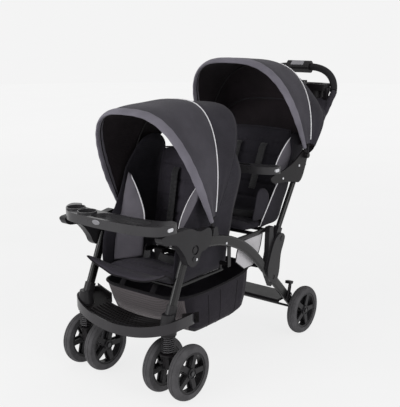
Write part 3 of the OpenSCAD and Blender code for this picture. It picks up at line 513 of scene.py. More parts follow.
def resample(points, n):
    """n points evenly spaced along a line of points."""
    d = np.r_[0, np.cumsum(np.linalg.norm(np.diff(points, axis=0), axis=1))]
    u = np.linspace(0, d[-1], n)
    return np.stack([np.interp(u, d, points[:, k]) for k in range(3)], 1)


def bow_line(pivot, bow, n, grow, start=CLOTH_START):
    """n even steps along a bow from side to side, from a height of start over its pivots."""
    lean, reach, half, square = bow
    e = 2 / square
    t0 = math.asin((start / reach) ** (square / 2))
    t = np.linspace(t0, math.pi - t0, BOW_STEPS)
    c = np.cos(t)
    x = (half + grow) * np.sign(c) * np.abs(c) ** e
    s = (reach + grow) * np.maximum(np.sin(t), 0) ** e
    a = math.radians(lean)
    return resample(np.stack([x, pivot[0] + s * math.sin(a), pivot[1] + s * math.cos(a)], 1), n)


def crown(pivot, bow):
    """Top of a bow's middle line."""
    a = math.radians(bow[0])
    return np.array([0.0, pivot[0] + bow[1] * math.sin(a), pivot[1] + bow[1] * math.cos(a)])


def canopy(which, blend_shift):
    """Cloth over three bows with its piping, rear hem and rim binding."""
    name, bow_body = which + "_canopy", which + "_rim_bow"
    pivot, bows = BOW[which]["pivot"], [np.array(b) for b in BOW[which]["bows"]]
    rows = []
    for i in range(2):
        for k in range(ROWS):
            q = k / ROWS
            b = bows[i] * (1 - q) + bows[i + 1] * q
            b[1] *= 1 - SAG * math.sin(math.pi * q) ** 2
            rows.append((i + q, b))
    rows += [(2.0, bows[2]), (2.3, bows[2] + TAIL)]
    outer = np.array([bow_line(pivot, b, COLUMNS, LIFT + CLOTH) for _, b in rows])
    normal = grid_normals(outer)
    normal *= np.sign(((outer - (0.0, *pivot)) * normal).sum(2, keepdims=True))
    # Slack folds that run from the pivots and fade towards the top
    u = np.linspace(-1, 1, COLUMNS)[None, :]
    v = np.array([v for v, _ in rows])[:, None]
    low = np.abs(u) ** 3
    wave = np.sin(v * math.pi) ** 2
    ripple = RIPPLE * low * wave * np.sin(v * 9.0 + 2.0 * u)
    sway = SWAY * wave * np.sin(5.0 * u + 2.4 * v) * (1 - low)
    outer = outer + normal * (ripple + sway)[:, :, None]
    inner = outer - normal * CLOTH
    # Rows behind the middle bow get the darker cloth as painted shade
    cloth = shell(name, outer, inner, CANOPY_LOOK, pick=lambda i, j: 0 if i < ROWS else 1)
    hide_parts(name + "_fabric")

    # White piping along the middle bow, and the rear hem
    mid = outer[ROWS] + normal[ROWS] * PIPING_RISE
    pipe = tube(name + "_piping", resample(mid[2:-2], PIPING_STEPS), PIPING, "piping")
    hem_line = resample(outer[-1] - normal[-1] * HEM_DROP, HEM_STEPS)
    # The rear hem wears the darker cloth too, as painted shade
    hem = tube(name + "_rear_hem", hem_line, HEM, "canopy_painted_shade")

    start, end = crown(pivot, bows[2]), crown(pivot, bows[0])
    start = start - blend_shift * (end - start)
    for o in (cloth, pipe, hem):
        tuple(start)
        tuple(end)
        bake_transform(o)
    declare_sheet(cloth, with_pieces=[pipe, hem])
    rim_binding(name, pivot, bows[0], bow_body)


def rim_binding(name, pivot, rim, bow_body):
    """Padded sleeve round the front bow. It narrows to the pivots, where folded bows lie close."""
    line = bow_line(pivot, rim, BAND_STEPS, LIFT + BAND_GAP, start=BAND_START)
    off = line - (0.0, *pivot)
    a = math.radians(rim[0])
    plane = np.array([0.0, math.cos(a), -math.sin(a)])
    out = np.cross(unit(np.gradient(line, axis=0)), plane)
    out *= np.sign((out * off).sum(1, keepdims=True))
    wide = np.interp(np.linalg.norm(off[:, 1:], axis=1), *zip(BAND_NEAR, BAND_FAR))[:, None]
    outer, inner = [], []
    for k in range(BAND_SIDES):
        t = 2 * math.pi * k / BAND_SIDES
        c, s = math.cos(t), math.sin(t)
        crease = np.sin(np.arange(BAND_STEPS) * 0.9 + k)[:, None]
        fold = 1 + BAND_FOLD * crease * (abs(c) > 0.5)
        outer.append(line + plane * wide * c * fold + out * BAND_OUTER * s)
        inner.append(line + plane * (wide - BAND_WALL) * c + out * BAND_INNER * s)
    band = shell(name + "_rim_binding", np.stack(outer, 1), np.stack(inner, 1), ["band"], ring=True)
    settle(bow_body, "canopy_cloth", band)
    declare_sheet(band)


canopy("front", blend_shift=-0.1016)
canopy("rear", blend_shift=0.032)

# Rear canopy's back: its wall has an opening, a bow as above, and its sides wrap the push tubes
WALL_HOLE = (43.0, 0.062, 0.170, 4.0)
WALL_ROWS, WALL_COLUMNS = 16, 81
WALL_GAP, WALL_CLOTH, WALL_SLACK, WALL_CREASE = 0.0016, 0.0022, 0.0018, 0.0010
PUSH_X, PUSH_SLOPE = 0.217, math.radians(47)
PUSH_BEND = np.array([0.2284286, 0.6507327])
PUSH_RUN = np.array([math.cos(PUSH_SLOPE), math.sin(PUSH_SLOPE)])
SLEEVE_RUN, SLEEVE_STEPS, SLEEVE_SIDES = (0.092, 0.424), 76, 24
SLEEVE_OUTER, SLEEVE_INNER, SLEEVE_RIDGE, SLEEVE_WAVE = 0.0124, 0.0110, 0.0006, 0.0005
GUSSET_RUN, GUSSET_X, GUSSET_STEPS = (0.118, 0.410), 0.2300, 40
GUSSET_EDGE = WALL_COLUMNS * 3 // 8
GUSSET_HALF, GUSSET_BULGE = 0.0011, 0.004


def push_line(x, along):
    """Points on the push tubes' upper slope, at distances along it from its lower bend."""
    return np.array([[x, *(PUSH_BEND + k * PUSH_RUN)] for k in along])


def canopy_wall(pivot, tail, first):
    """Wall from the canopy's tail line, first, in to its opening."""
    a = math.radians(tail[0])
    back = np.array([0.0, math.cos(a), -math.sin(a)])
    last = bow_line(pivot, WALL_HOLE, WALL_COLUMNS, 0.0)
    v = np.linspace(0, 1, WALL_ROWS)[:, None, None]
    u = np.linspace(-1, 1, WALL_COLUMNS)[None, :, None]
    wall = first[None] * (1 - v) + last[None] * v
    slack = WALL_SLACK * np.sin(u * 17.0 + 2.0 * v) * np.sin(math.pi * v)
    slack = slack + WALL_CREASE * np.sin(v * 14.0 + 3.0 * u)
    wall = wall + back * (WALL_GAP + np.abs(slack) * np.sin(math.pi * v))
    # The wall's back face wears the darker copy of the canopy cloth, painted shade
    return shell("rear_canopy_wall", wall, wall + back * WALL_CLOTH, ["lining", "canopy_painted_shade"])


def push_sleeve(s, word):
    """Wrinkled cloth round one push tube."""
    t = np.linspace(*SLEEVE_RUN, SLEEVE_STEPS)
    line = push_line(s * PUSH_X, t)[:, None]
    ridge = SLEEVE_OUTER + SLEEVE_RIDGE * np.sin(t * 160.0) + SLEEVE_WAVE * np.sin(t * 61.0)
    side = np.array([1.0, 0.0, 0.0])
    square = np.array([0.0, -PUSH_RUN[1], PUSH_RUN[0]])
    turn = np.linspace(0, 2 * math.pi, SLEEVE_SIDES, endpoint=False)
    spokes = np.array([math.cos(b) * side + math.sin(b) * square for b in turn])
    # The sleeve wears the darker copy of the canopy cloth, painted shade
    return shell("push_sleeve_" + word, line + ridge[:, None, None] * spokes,
                 line + SLEEVE_INNER * spokes, ["canopy_painted_shade"], ring=True)


def canopy_gusset(s, word, first):
    """Cloth from the canopy's tail line, first, to one sleeve."""
    edge = resample(first[::s][:GUSSET_EDGE], GUSSET_STEPS)
    goal = push_line(s * GUSSET_X, np.linspace(*GUSSET_RUN, GUSSET_STEPS))
    q = np.linspace(0, 1, 9)[:, None, None]
    strip = edge[None] * (1 - q) + goal[None] * q
    strip = strip + np.sin(math.pi * q) * np.array([s * GUSSET_BULGE, 0.0, 0.0])
    half = (s * GUSSET_HALF, 0, 0)
    # The gusset's outer face wears the darker copy of the canopy cloth, painted shade
    return shell("canopy_gusset_" + word, strip + half, strip - half, ["canopy_painted_shade", "lining"])


def rear_back_cloth():
    pivot = BOW["rear"]["pivot"]
    tail = BOW["rear"]["bows"][2] + TAIL
    first = bow_line(pivot, tail, WALL_COLUMNS, LIFT + CLOTH)
    pieces = [canopy_wall(pivot, tail, first)]
    for s, word in SIDES:
        pieces.append(push_sleeve(s, word))
        pieces.append(canopy_gusset(s, word, first))
    for p in pieces:
        settle("push_frame", "canopy_cloth", p)
        declare_sheet(p)


rear_back_cloth()

# Padded seats
PAD_THICK, PAD_EDGE, PAD_SOLE, PAD_LOWEST = 0.032, 0.009, 0.0035, 0.0003
PAD_CORNER, PAD_BOW, PAD_SQUARE = 0.16, 0.08, 7
SWELL, SWELL_CAP, SOLE_HELD, VOXEL = 0.004, 0.006, 0.004, 0.005
SWELL_FRAMES, SWELL_PRESSURE = 20, 4.0
SEAM_WIDTH, SEAM_DEPTH, SEAM_HELD = 0.0055, 0.0055, 0.05
TOP_FROM, TOP_RUN = 0.008, 0.012
PUCKER_WIDTH, PUCKER, UNEVEN = 0.018, 0.0009, 0.0011
PAD_PIPING, PAD_PIPING_Z, PAD_PIPING_OUT = 0.0028, 0.0065, 0.003


def pad_grid(w, l, t, dome, taper, nu, nv):
    """Top and bottom of a pad in its own frame: rounded outline, crown, drawn-in edge."""
    u = np.sin(np.linspace(-math.pi / 2, math.pi / 2, nu))[:, None]
    v = np.sin(np.linspace(-math.pi / 2, math.pi / 2, nv))[None, :] * np.ones_like(u)
    u = u * np.ones_like(v)
    wide = w / 2 * (1 - taper * (v + 1) / 2)
    x = u * wide * np.sqrt(1 - PAD_CORNER * v ** 4)
    y = v * l / 2 * np.sqrt(1 - PAD_BOW * u ** 2)
    edge = np.sqrt(np.maximum(0, (1 - np.abs(u) ** PAD_SQUARE) * (1 - np.abs(v) ** PAD_SQUARE)))
    top = PAD_EDGE + edge * (t - PAD_EDGE - dome * (u * u + v * v) / 2)
    low = PAD_SOLE * (1 - edge)
    return np.stack([x, y, top], 2), np.stack([x, y, low], 2)


def fresh_mesh(o):
    """Applies the modifiers of o."""
    dg = bpy.context.evaluated_depsgraph_get()
    mesh = bpy.data.meshes.new_from_object(o.evaluated_get(dg))
    o.modifiers.clear()
    old = o.data
    o.data = mesh
    bpy.data.meshes.remove(old)


def points_of(o):
    co = np.zeros(len(o.data.vertices) * 3)
    o.data.vertices.foreach_get("co", co)
    return co.reshape(-1, 3)


def set_points(o, co):
    o.data.vertices.foreach_set("co", np.asarray(co, np.float32).ravel())
    o.data.update()


def puff(o, held):
    """Cloth simulation under pressure: the skin swells where held(co) is false."""
    remesh = o.modifiers.new("remesh", "REMESH")
    remesh.mode = "VOXEL"
    remesh.voxel_size = VOXEL
    fresh_mesh(o)
    rest = points_of(o)
    group = o.vertex_groups.new(name="held")
    group.add([int(i) for i in np.nonzero(held(rest))[0]], 1.0, "REPLACE")
    cloth = o.modifiers.new("cloth", "CLOTH")
    cs = cloth.settings
    cs.quality = 4
    cs.mass = 0.3
    cs.tension_stiffness = 12
    cs.compression_stiffness = 12
    cs.shear_stiffness = 5
    cs.bending_stiffness = 0.4
    cs.use_pressure = True
    cs.uniform_pressure_force = SWELL_PRESSURE
    cs.vertex_group_mass = "held"
    cs.effector_weights.gravity = 0.0
    cloth.collision_settings.use_collision = False
    scene = bpy.context.scene
    for f in range(1, SWELL_FRAMES + 1):
        scene.frame_set(f)
    swollen = points_of(o.evaluated_get(bpy.context.evaluated_depsgraph_get()))
    o.modifiers.clear()
    scene.frame_set(1)
    move = swollen - rest
    far = np.linalg.norm(move, axis=1, keepdims=True)
    set_points(o, rest + move * np.minimum(1.0, SWELL_CAP / np.maximum(far, 1e-9)))


def subdivide(o):
    level = o.modifiers.new("subdivision", "SUBSURF")
    level.levels = 1
    level.render_levels = 1
    fresh_mesh(o)
    o.data.polygons.foreach_set("use_smooth", [True] * len(o.data.polygons))


def pad(name, node, body, place, w, l, rows, dome, mat, taper=0.0):
    """Stuffed pad: simulated skin, sewn channels, piped edge. place takes pad space to the frame."""
    top, low = pad_grid(w, l, PAD_THICK - SWELL, dome, taper, 25, 33)
    o = shell(name, top, low, [mat])
    lines = np.array([2 * k / (rows + 1) - 1 for k in range(1, rows + 1)])

    def to_seam(v):
        return np.min(np.abs(v[:, None] - lines[None, :]), axis=1)

    puff(o, lambda co: (to_seam(co[:, 1] / (l / 2)) < SEAM_HELD) | (co[:, 2] < SOLE_HELD))
    co = points_of(o)
    v, u = co[:, 1] / (l / 2), co[:, 0] / (w / 2)
    sew = np.max([np.exp(-(((v - c) * l / 2) / SEAM_WIDTH) ** 2) for c in lines], axis=0)
    up = np.clip((co[:, 2] - TOP_FROM) / TOP_RUN, 0, 1)
    co[:, 2] -= SEAM_DEPTH * sew * up * (1 - np.clip(np.abs(u), 0, 1) ** 8)
    # Small puckers along the sewing, and a soft uneven surface
    near = np.exp(-(to_seam(v) * l / 2 / PUCKER_WIDTH) ** 2)
    co[:, 2] += up * near * PUCKER * np.sin(co[:, 0] * 330.0 + 3 * np.sin(co[:, 0] * 41.0))
    co[:, 2] += up * UNEVEN * np.sin(co[:, 0] * 23.0 + co[:, 1] * 17.0) * np.sin(co[:, 1] * 37.0)
    co[:, 2] = np.clip(co[:, 2], PAD_LOWEST, PAD_THICK + SWELL)
    set_points(o, co)
    subdivide(o)
    wear(o.data, mat)
    o.data.transform(place)
    # Piped edge on the outline
    edge, _ = pad_grid(w + PAD_PIPING_OUT, l + PAD_PIPING_OUT, PAD_THICK, dome, taper, 41, 49)
    ring = np.concatenate([edge[:, 0], edge[-1, 1:], edge[-2::-1, -1], edge[0, -2:0:-1]])
    ring[:, 2] = PAD_PIPING_Z
    moved = np.array([list(place @ Vector(p)) for p in ring])
    pipe = tube(name + "_edge", moved, PAD_PIPING, mat, closed=True)
    settle(body, "seat_cloth", o, pipe)
    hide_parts(node)


def at(x, y, z):
    return Matrix.Translation(Vector((x, y, z)))


def tilt(deg):
    return Matrix.Rotation(math.radians(deg), 4, "X")


FRONT_BACK = at(0, -0.188, 0.398) @ tilt(-10)
REAR_BACK = at(0, 0.150, 0.500) @ tilt(-24)
pad("front_seat", "front_seat_pad", "main_frame", at(0, -0.335, 0.3785),
    w=0.322, l=0.226, rows=3, dome=0.008, mat="seat")
pad("rear_seat", "rear_seat_pad", "main_frame", at(0, 0.042, 0.4815),
    w=0.346, l=0.168, rows=2, dome=0.008, mat="seat_dark")
pad("front_back", "front_backrest_pad", "front_backrest", FRONT_BACK @ at(0, 0.0122, 0.208) @ tilt(90),
    w=0.324, l=0.372, rows=5, dome=0.010, mat="seat")
pad("rear_back", "rear_backrest_pad", "push_frame", REAR_BACK @ at(0, 0.0167, 0.184) @ tilt(90),
    w=0.338, l=0.352, rows=5, dome=0.010, mat="seat_dark", taper=0.06)

# Calf flap: it starts at the front seat's edge, widens to the front and curls up at its corners
FLAP_Y, FLAP_Z, FLAP_LENGTH = -0.446, 0.3900, 0.060
FLAP_HALF, FLAP_SPLAY, FLAP_CURL = 0.163, 0.020, 0.046
FLAP_ABOVE, FLAP_BELOW, FLAP_HEM = 0.007, 0.005, 0.003
FLAP_WAVE, FLAP_RIPPLE, FLAP_BELLY, FLAP_SINK = 0.0025, 0.0012, 0.006, 0.002


def calf_flap():
    nu, nv = 61, 19
    u = np.linspace(-1, 1, nu)[:, None] * np.ones((1, nv))
    v = np.linspace(0, 1, nv)[None, :] * np.ones((nu, 1))
    wave = FLAP_WAVE * v * np.cos(u * 3 * math.pi) + FLAP_RIPPLE * np.sin(u * 14.0 + v * 3.0) * v
    x = u * (FLAP_HALF + FLAP_SPLAY * v)
    y = FLAP_Y - FLAP_LENGTH * v + wave
    z = FLAP_Z + FLAP_BELLY * v * (1 - v) * 4 - FLAP_SINK * v + FLAP_CURL * v * np.abs(u) ** 2.5
    mid = np.stack([x, y, z], 2)
    normal = grid_normals(mid)
    normal *= np.sign(normal[:, :, 2:3])
    edge = np.minimum(1, np.minimum((1 - np.abs(u)) * 12, (1 - v) * 7) + 0.35)[:, :, None]
    flap = shell("calf_flap", mid + normal * FLAP_ABOVE * edge, mid - normal * FLAP_BELOW * edge,
                 ["seat", "seat_dark"])
    rim = np.concatenate([mid[0, 2:], mid[1:, -1], mid[-1, -2:1:-1]])
    hem = tube("calf_flap_hem", rim, FLAP_HEM, "hem")
    settle("main_frame", "seat_cloth", flap, hem)
    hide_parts("front_seat_pad")
    declare_sheet(flap, with_pieces=[hem])


calf_flap()

# Side cloth: outlines as (y, z), and the two edges of the right front wing as (x, y, z)
REAR_SIDE = [(0.044, 0.484), (0.078, 0.526), (0.122, 0.582), (0.162, 0.630), (0.200, 0.650),
             (0.238, 0.642), (0.240, 0.612), (0.204, 0.552), (0.166, 0.490), (0.090, 0.483)]
REAR_BOLSTER = [(0.010, 0.515), (0.018, 0.560), (0.036, 0.616), (0.062, 0.630), (0.092, 0.620),
                (0.112, 0.594), (0.108, 0.550), (0.090, 0.515)]
REAR_FILL = [(0.250, 0.806), (0.300, 0.816), (0.350, 0.790), (0.348, 0.752), (0.320, 0.706),
             (0.288, 0.668), (0.250, 0.630), (0.212, 0.634), (0.232, 0.690), (0.256, 0.740)]
REAR_WING = [(0.150, 0.640), (0.150, 0.690), (0.162, 0.715), (0.192, 0.748), (0.232, 0.782),
             (0.272, 0.803), (0.292, 0.790), (0.280, 0.740), (0.252, 0.690), (0.222, 0.640),
             (0.186, 0.606)]
FRONT_SIDE = [(-0.436, 0.384), (-0.444, 0.470), (-0.420, 0.540), (-0.370, 0.600), (-0.318, 0.680),
              (-0.285, 0.760), (-0.235, 0.826), (-0.160, 0.836), (-0.100, 0.790), (-0.090, 0.700),
              (-0.116, 0.560), (-0.150, 0.440), (-0.175, 0.384), (-0.320, 0.381)]
FRONT_WING_IN = [(0.080, -0.330, 0.412), (0.080, -0.322, 0.500), (0.086, -0.309, 0.568),
                 (0.117, -0.304, 0.640), (0.157, -0.300, 0.700)]
FRONT_WING_OUT = [(0.158, -0.400, 0.400), (0.160, -0.386, 0.480), (0.163, -0.350, 0.570),
                  (0.168, -0.322, 0.650), (0.166, -0.302, 0.708)]
PANEL_RINGS, PANEL_RIM = 9, 0.35
LEAN_OUT, LEAN_FROM, LEAN_RUN = 0.017, 0.58, 0.12
LEAN_IN, CROWN_FROM = 0.30, 0.72
WING_PUFF, WING_CREASE, WING_PIPING, WING_PIPING_OUT = 0.006, 0.0016, 0.0024, 0.002
WING_RIM, WING_FULL, WING_PIPED_FROM = 0.0012, 0.0022, 10


def panel(name, outline, x, t, mat, body, piped=(), lean=lambda q: 0.0, crumple=None):
    """Soft panel in a side plane, puffed between its edges, with piping along the points piped.

    lean(point) moves it sideways. crumple is (joint, level, keep); when it is given, the cloth only
    gets a mesh of its own.
    """
    line = spline(outline, 7, closed=True)
    centre = line.mean(0)
    n = len(line)
    verts = []
    for side in (1, -1):
        for k in range(PANEL_RINGS + 1):
            s = 1 - k / PANEL_RINGS
            bulge = 0.5 * t * (PANEL_RIM + (1 - PANEL_RIM) * math.sqrt(max(0.0, 1 - s ** 5)))
            for p in line:
                q = centre + (p - centre) * s
                verts.append((x + lean(q) + side * bulge, q[0], q[1]))
    half = len(verts) // 2
    faces = ring_faces(PANEL_RINGS + 1, n) + ring_faces(PANEL_RINGS + 1, n, half)
    faces += ring_strip(n, 0, half)
    piece = new_object(name, verts, faces, [mat], weld=True)
    settle(body, "side_cloth", piece)
    extra = []
    if piped:
        points = [(x + lean(p), p[0], p[1]) for p in spline(piped, 10)]
        pipe = tube(name + "_piping", points, PIPING, "piping")
        settle(body, "canopy_cloth", pipe)
        extra.append(pipe)
    if crumple:
        for o in [piece] + extra:
            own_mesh(o)
    declare_sheet(piece, with_pieces=extra)


def side_lean(q):
    """The front side panel leans out to the canopy over the arms, and in again under its crown."""
    rise = min(1.0, max(0.0, (q[1] - LEAN_FROM) / LEAN_RUN))
    fall = max(0.0, q[1] - CROWN_FROM)
    return LEAN_OUT * rise - LEAN_IN * fall


def front_wing(s, word):
    """Soft flap from the seat's side to a piped inner edge."""
    rise = spline(FRONT_WING_IN)
    edge = spline(FRONT_WING_OUT)
    q = np.linspace(0, 1, 17)[None, :, None]
    mid = rise[:, None] * (1 - q) + edge[:, None] * q
    v = np.linspace(0, 1, len(rise))[:, None]
    across = q[:, :, 0]
    puffed = WING_PUFF * np.sin(math.pi * across) * np.sin(math.pi * (0.15 + 0.8 * v))
    crease = WING_CREASE * np.sin(v * 19.0 + across * 4.0) * np.sin(math.pi * across)
    mid[:, :, 1] -= puffed + crease
    mid = mid * (s, 1, 1)
    normal = grid_normals(mid)
    normal *= np.sign(-normal[:, :, 1:2])
    thick = WING_RIM + WING_FULL * np.minimum(1, np.minimum(q, 1 - q) * 8)
    flap = shell("front_wing_" + word, mid + normal * thick, mid - normal * thick, ["wing", "seat"])
    edge_line = mid[WING_PIPED_FROM:, 0] + (0, -WING_PIPING_OUT, 0)
    pipe = tube("front_wing_piping_" + word, edge_line, WING_PIPING, "piping")
    settle("main_frame", "side_cloth", flap, pipe)
    declare_sheet(flap, with_pieces=[pipe])


for s, word in SIDES:
    front_wing(s, word)
    panel("front_side_" + word, FRONT_SIDE, x=s * 0.1665, t=0.005, mat="seat_dark", body="main_frame",
          lean=lambda q, s=s: s * side_lean(q), crumple=("front_canopy_fold", 0.39, 0.72))
    panel("rear_side_" + word, REAR_SIDE, x=s * 0.1795, t=0.006, mat="seat_dark", body="main_frame",
          piped=REAR_SIDE[:5], crumple=("push_fold", 0.50, 0.12))
    panel("rear_bolster_" + word, REAR_BOLSTER, x=s * 0.1735, t=0.005, mat="seat_dark", body="main_frame",
          crumple=("push_fold", 0.512, 0.12))
    panel("rear_wing_" + word, REAR_WING, x=s * 0.1750, t=0.006, mat="wing", body="push_frame",
          piped=REAR_WING[1:7])
    panel("rear_fill_" + word, REAR_FILL, x=s * 0.1815, t=0.005, mat="seat_dark", body="push_frame")
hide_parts("side_panels")

# Basket: the bag's profile has 7 levels, from its rim to near the middle of its floor
BAG_Y, BAG_HALF_X, BAG_HALF_Y = -0.222, 0.192, 0.238
BAG_FLOOR, BAG_DEPTH, BAG_CLOTH = 0.170, 0.172, 0.0022
BAG_SHARE = [1, 1, 0.985, 0.95, 0.86, 0.6, 0.3]
BAG_DROP = [0, 0.3, 0.62, 0.86, 0.97, 1, 1]
BAG_NARROWING, BAG_DRIFT, BAG_SQUARE = 0.030, 0.010, 5
BAG_TOE, BAG_TOE_SLOPE, BAG_RIM_DIP, BAG_RIM_RISE = -0.330, 0.45, 0.014, 0.006
BAG_FOLD, BAG_POINTS, BAG_EYE = 0.0035, 128, 0.02
BAG_SEAMS = (-0.300, -0.200, -0.110)
BAG_STRAP, BAG_LOOP, BAG_HANG, BAG_KEEP = 0.024, 0.020, 0.345, 0.10
BAG_HEM, BAG_HEM_DROP, BAG_SEAM = 0.0045, 0.003, 0.0014
BAG_FRONT_STRAP = [(0.072, -0.456, 0.330), (0.072, -0.448, 0.340), (0.072, -0.438, 0.352),
                   (0.072, -0.4305, 0.3615)]
BAG_REAR_LOOP = [(0.150, -0.004, 0.344), (0.170, -0.002, 0.346), (0.190, -0.001, 0.347),
                 (0.2072, 0.0, 0.347)]
NET_FROM, NET_TO = 215, 325


def basket_ring(k, grow):
    """One ring of the bag: k runs from 0 at the rim to 6 near the floor's middle."""
    a = np.linspace(0, 2 * math.pi, BAG_POINTS, endpoint=False)
    e = 2 / BAG_SQUARE
    c = np.sign(np.cos(a)) * np.abs(np.cos(a)) ** e
    s = np.sign(np.sin(a)) * np.abs(np.sin(a)) ** e
    f = np.interp(k, range(7), BAG_SHARE)
    d = np.interp(k, range(7), BAG_DROP)
    y = BAG_Y + s * ((BAG_HALF_Y - BAG_NARROWING * d) * f - grow) + BAG_DRIFT * d
    floor = BAG_FLOOR + np.maximum(0, BAG_TOE - y) * BAG_TOE_SLOPE
    rim = BAG_FLOOR + BAG_DEPTH - BAG_RIM_DIP * (1 - s * s) + BAG_RIM_RISE * s
    z = rim * (1 - d) + (floor + grow) * d
    # Soft vertical folds in the sides
    fold = BAG_FOLD * np.sin(a * 9.0) * math.sin(math.pi * min(1.0, d)) * (np.abs(c) > 0.5)
    return np.stack([c * (BAG_HALF_X * f - grow) - np.sign(c) * np.abs(fold), y, z], 1)


def bag_grid(steps, grow):
    """Rings of the bag, the last one drawn together in the middle of the floor."""
    rings = np.array([basket_ring(k, grow) for k in steps])
    eye = np.array([0.0, BAG_Y + BAG_DRIFT, BAG_FLOOR])
    last = eye + (rings[-1] - eye) * BAG_EYE
    last[:, 2] = BAG_FLOOR + grow
    return np.concatenate([rings, last[None]])


def basket():
    steps = np.r_[np.linspace(0, 4, 21), np.linspace(4.2, 6.0, 8)]
    outer = bag_grid(steps, 0.0)
    inner = bag_grid(steps, BAG_CLOTH)
    angle = np.linspace(0, 360, BAG_POINTS, endpoint=False)

    def pick(i, j):
        front = NET_FROM < angle[j] < NET_TO
        return 1 if front and 2 <= i < len(steps) - 8 else 0

    bag = shell("basket_bag", outer, inner, ["basket", "net_grey", "basket"], pick=pick, ring=True)
    hem = tube("basket_hem", outer[0] + (0, 0, -BAG_HEM_DROP), BAG_HEM, "hem", sides=10, closed=True)
    pieces = [bag, hem]
    for s, word in SIDES:
        pieces.append(strap("basket_front_strap_" + word, np.array(BAG_FRONT_STRAP) * (s, 1, 1),
                            (1, 0, 0), BAG_STRAP, "hem"))
        pieces.append(strap("basket_rear_loop_" + word, np.array(BAG_REAR_LOOP) * (s, 1, 1),
                            (0, 0.7, 0.7), BAG_LOOP, "hem"))
        for y in BAG_SEAMS:
            other_side = np.sign(outer[0, :, 0]) != s
            column = np.argmin(np.abs(outer[0, :, 1] - y) + 9 * other_side)
            seam = f"basket_seam_{word}_{int(-y * 1000)}"
            pieces.append(tube(seam, outer[2:24, column], BAG_SEAM, "hem", sides=6))
    for p in pieces:
        settle("main_frame", "basket_cloth", p)
        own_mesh(p)
    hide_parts("basket")
    declare_sheet(bag, with_pieces=pieces[1:])


basket()

# Net panels beside the rear rail, with their outline as (y, z)
NET_OUTLINE = np.array([(-0.112, 0.462), (-0.030, 0.464), (0.036, 0.464), (0.024, 0.420), (0.004, 0.378),
                        (-0.024, 0.352), (-0.082, 0.352), (-0.138, 0.392), (-0.128, 0.430)])
NET_X, NET_CLOTH, NET_HOLLOW, NET_HEM = 0.1985, 0.001, 0.002, 0.0018
NET_RINGS, NET_EYE, NET_STEPS = 8, 0.985, 6


def net_panel(s, word):
    line = []
    for a, b in zip(NET_OUTLINE, np.roll(NET_OUTLINE, -1, 0)):
        line += [a + (b - a) * k / NET_STEPS for k in range(NET_STEPS)]
    line = np.array(line)
    centre = line.mean(0)
    n, rings = len(line), NET_RINGS + 1
    verts = []
    for side in (0, 1):
        for k in range(rings):
            q = centre + (line - centre) * (1 - NET_EYE * k / NET_RINGS)
            hollow = NET_HOLLOW * math.sin(math.pi * k / NET_RINGS / 2)
            verts += [(s * (NET_X - hollow - side * NET_CLOTH), p[0], p[1]) for p in q]
    half = rings * n
    faces = ring_faces(rings, n) + ring_faces(rings, n, half)
    for first in (0, NET_RINGS * n):
        faces += ring_strip(n, first, half + first)
    net = new_object("net_panel_" + word, verts, faces, ["net_pale"])
    edge = [(s * NET_X, p[0], p[1]) for p in line]
    hem = tube("net_panel_hem_" + word, edge, NET_HEM, "hem", sides=6, closed=True)
    settle("main_frame", "basket_cloth", net, hem)
    declare_sheet(net, with_pieces=[hem])


for s, word in SIDES:
    net_panel(s, word)

# Harness: a rise is (height, lift off the backrest's own plane), a buckle is (y, z)
HARNESS_X, WEB, WAIST_WEB = 0.060, 0.030, 0.026
FRONT_RISE = [(0.318, 0.020), (0.300, 0.030), (0.240, 0.031), (0.170, 0.032), (0.110, 0.034),
              (0.070, 0.040)]
REAR_RISE = [(0.286, 0.016), (0.268, 0.026), (0.210, 0.027), (0.150, 0.028), (0.095, 0.030)]


def harness(word, place, body, rise, seat_z, back_y, buckle):
    """Two shoulder straps on a backrest and two waist straps from its foot to the buckle."""
    pieces = []
    y, z = buckle
    for s, side in SIDES:
        line = spline([list(place @ Vector((s * HARNESS_X, -lift, height))) for height, lift in rise])
        shoulder = strap(f"{word}_shoulder_strap_{side}", line, (1, 0, 0), WEB)
        waist_line = spline([(s * 0.142, back_y, seat_z), (s * 0.105, back_y - 0.050, seat_z + 0.004),
                             (s * 0.060, y + 0.020, seat_z + 0.010), (s * 0.021, y + 0.004, z - 0.004)])
        waist = strap(f"{word}_waist_strap_{side}", waist_line, (0, 0.35, 0.94), WAIST_WEB)
        pieces += [(shoulder, body), (waist, "main_frame")]
    for o, owner in pieces:
        settle(owner, "seat_cloth", o)
        area = area_of(o) / 2


harness("front", FRONT_BACK, "front_backrest", FRONT_RISE, seat_z=0.4135, back_y=-0.246,
        buckle=(-0.358, 0.440))
harness("rear", REAR_BACK, "push_frame", REAR_RISE, seat_z=0.5170, back_y=0.112, buckle=(0.020, 0.543))

# Small trim: rivets as (name, place on the right, radius, body), and a blank oval plate on the child tray
RIVETS = [("hub_rivet_", (0.2340, -0.4097, 0.4766), 0.0050, "main_frame"),
          ("arch_rivet_", (0.2259, -0.2306, 0.4900), 0.0045, "main_frame"),
          ("arm_rivet_front_", (0.2339, 0.1164, 0.6660), 0.0045, "push_frame"),
          ("arm_rivet_rear_", (0.2339, 0.2312, 0.6990), 0.0050, "push_frame")]
RIVET_HEIGHT = 0.002
DOME = [(1.0, 0.0), (1.0, 0.45), (0.92, 0.75), (0.7, 0.93), (0.35, 1.0)]
DOME_SIDES = 28
PLATE_X, PLATE_Z, PLATE_SINK = -0.007, 0.610, 0.0006
PLATE_RADIUS, PLATE_OVAL, PLATE_HEIGHT = 0.017, 0.5, 0.003


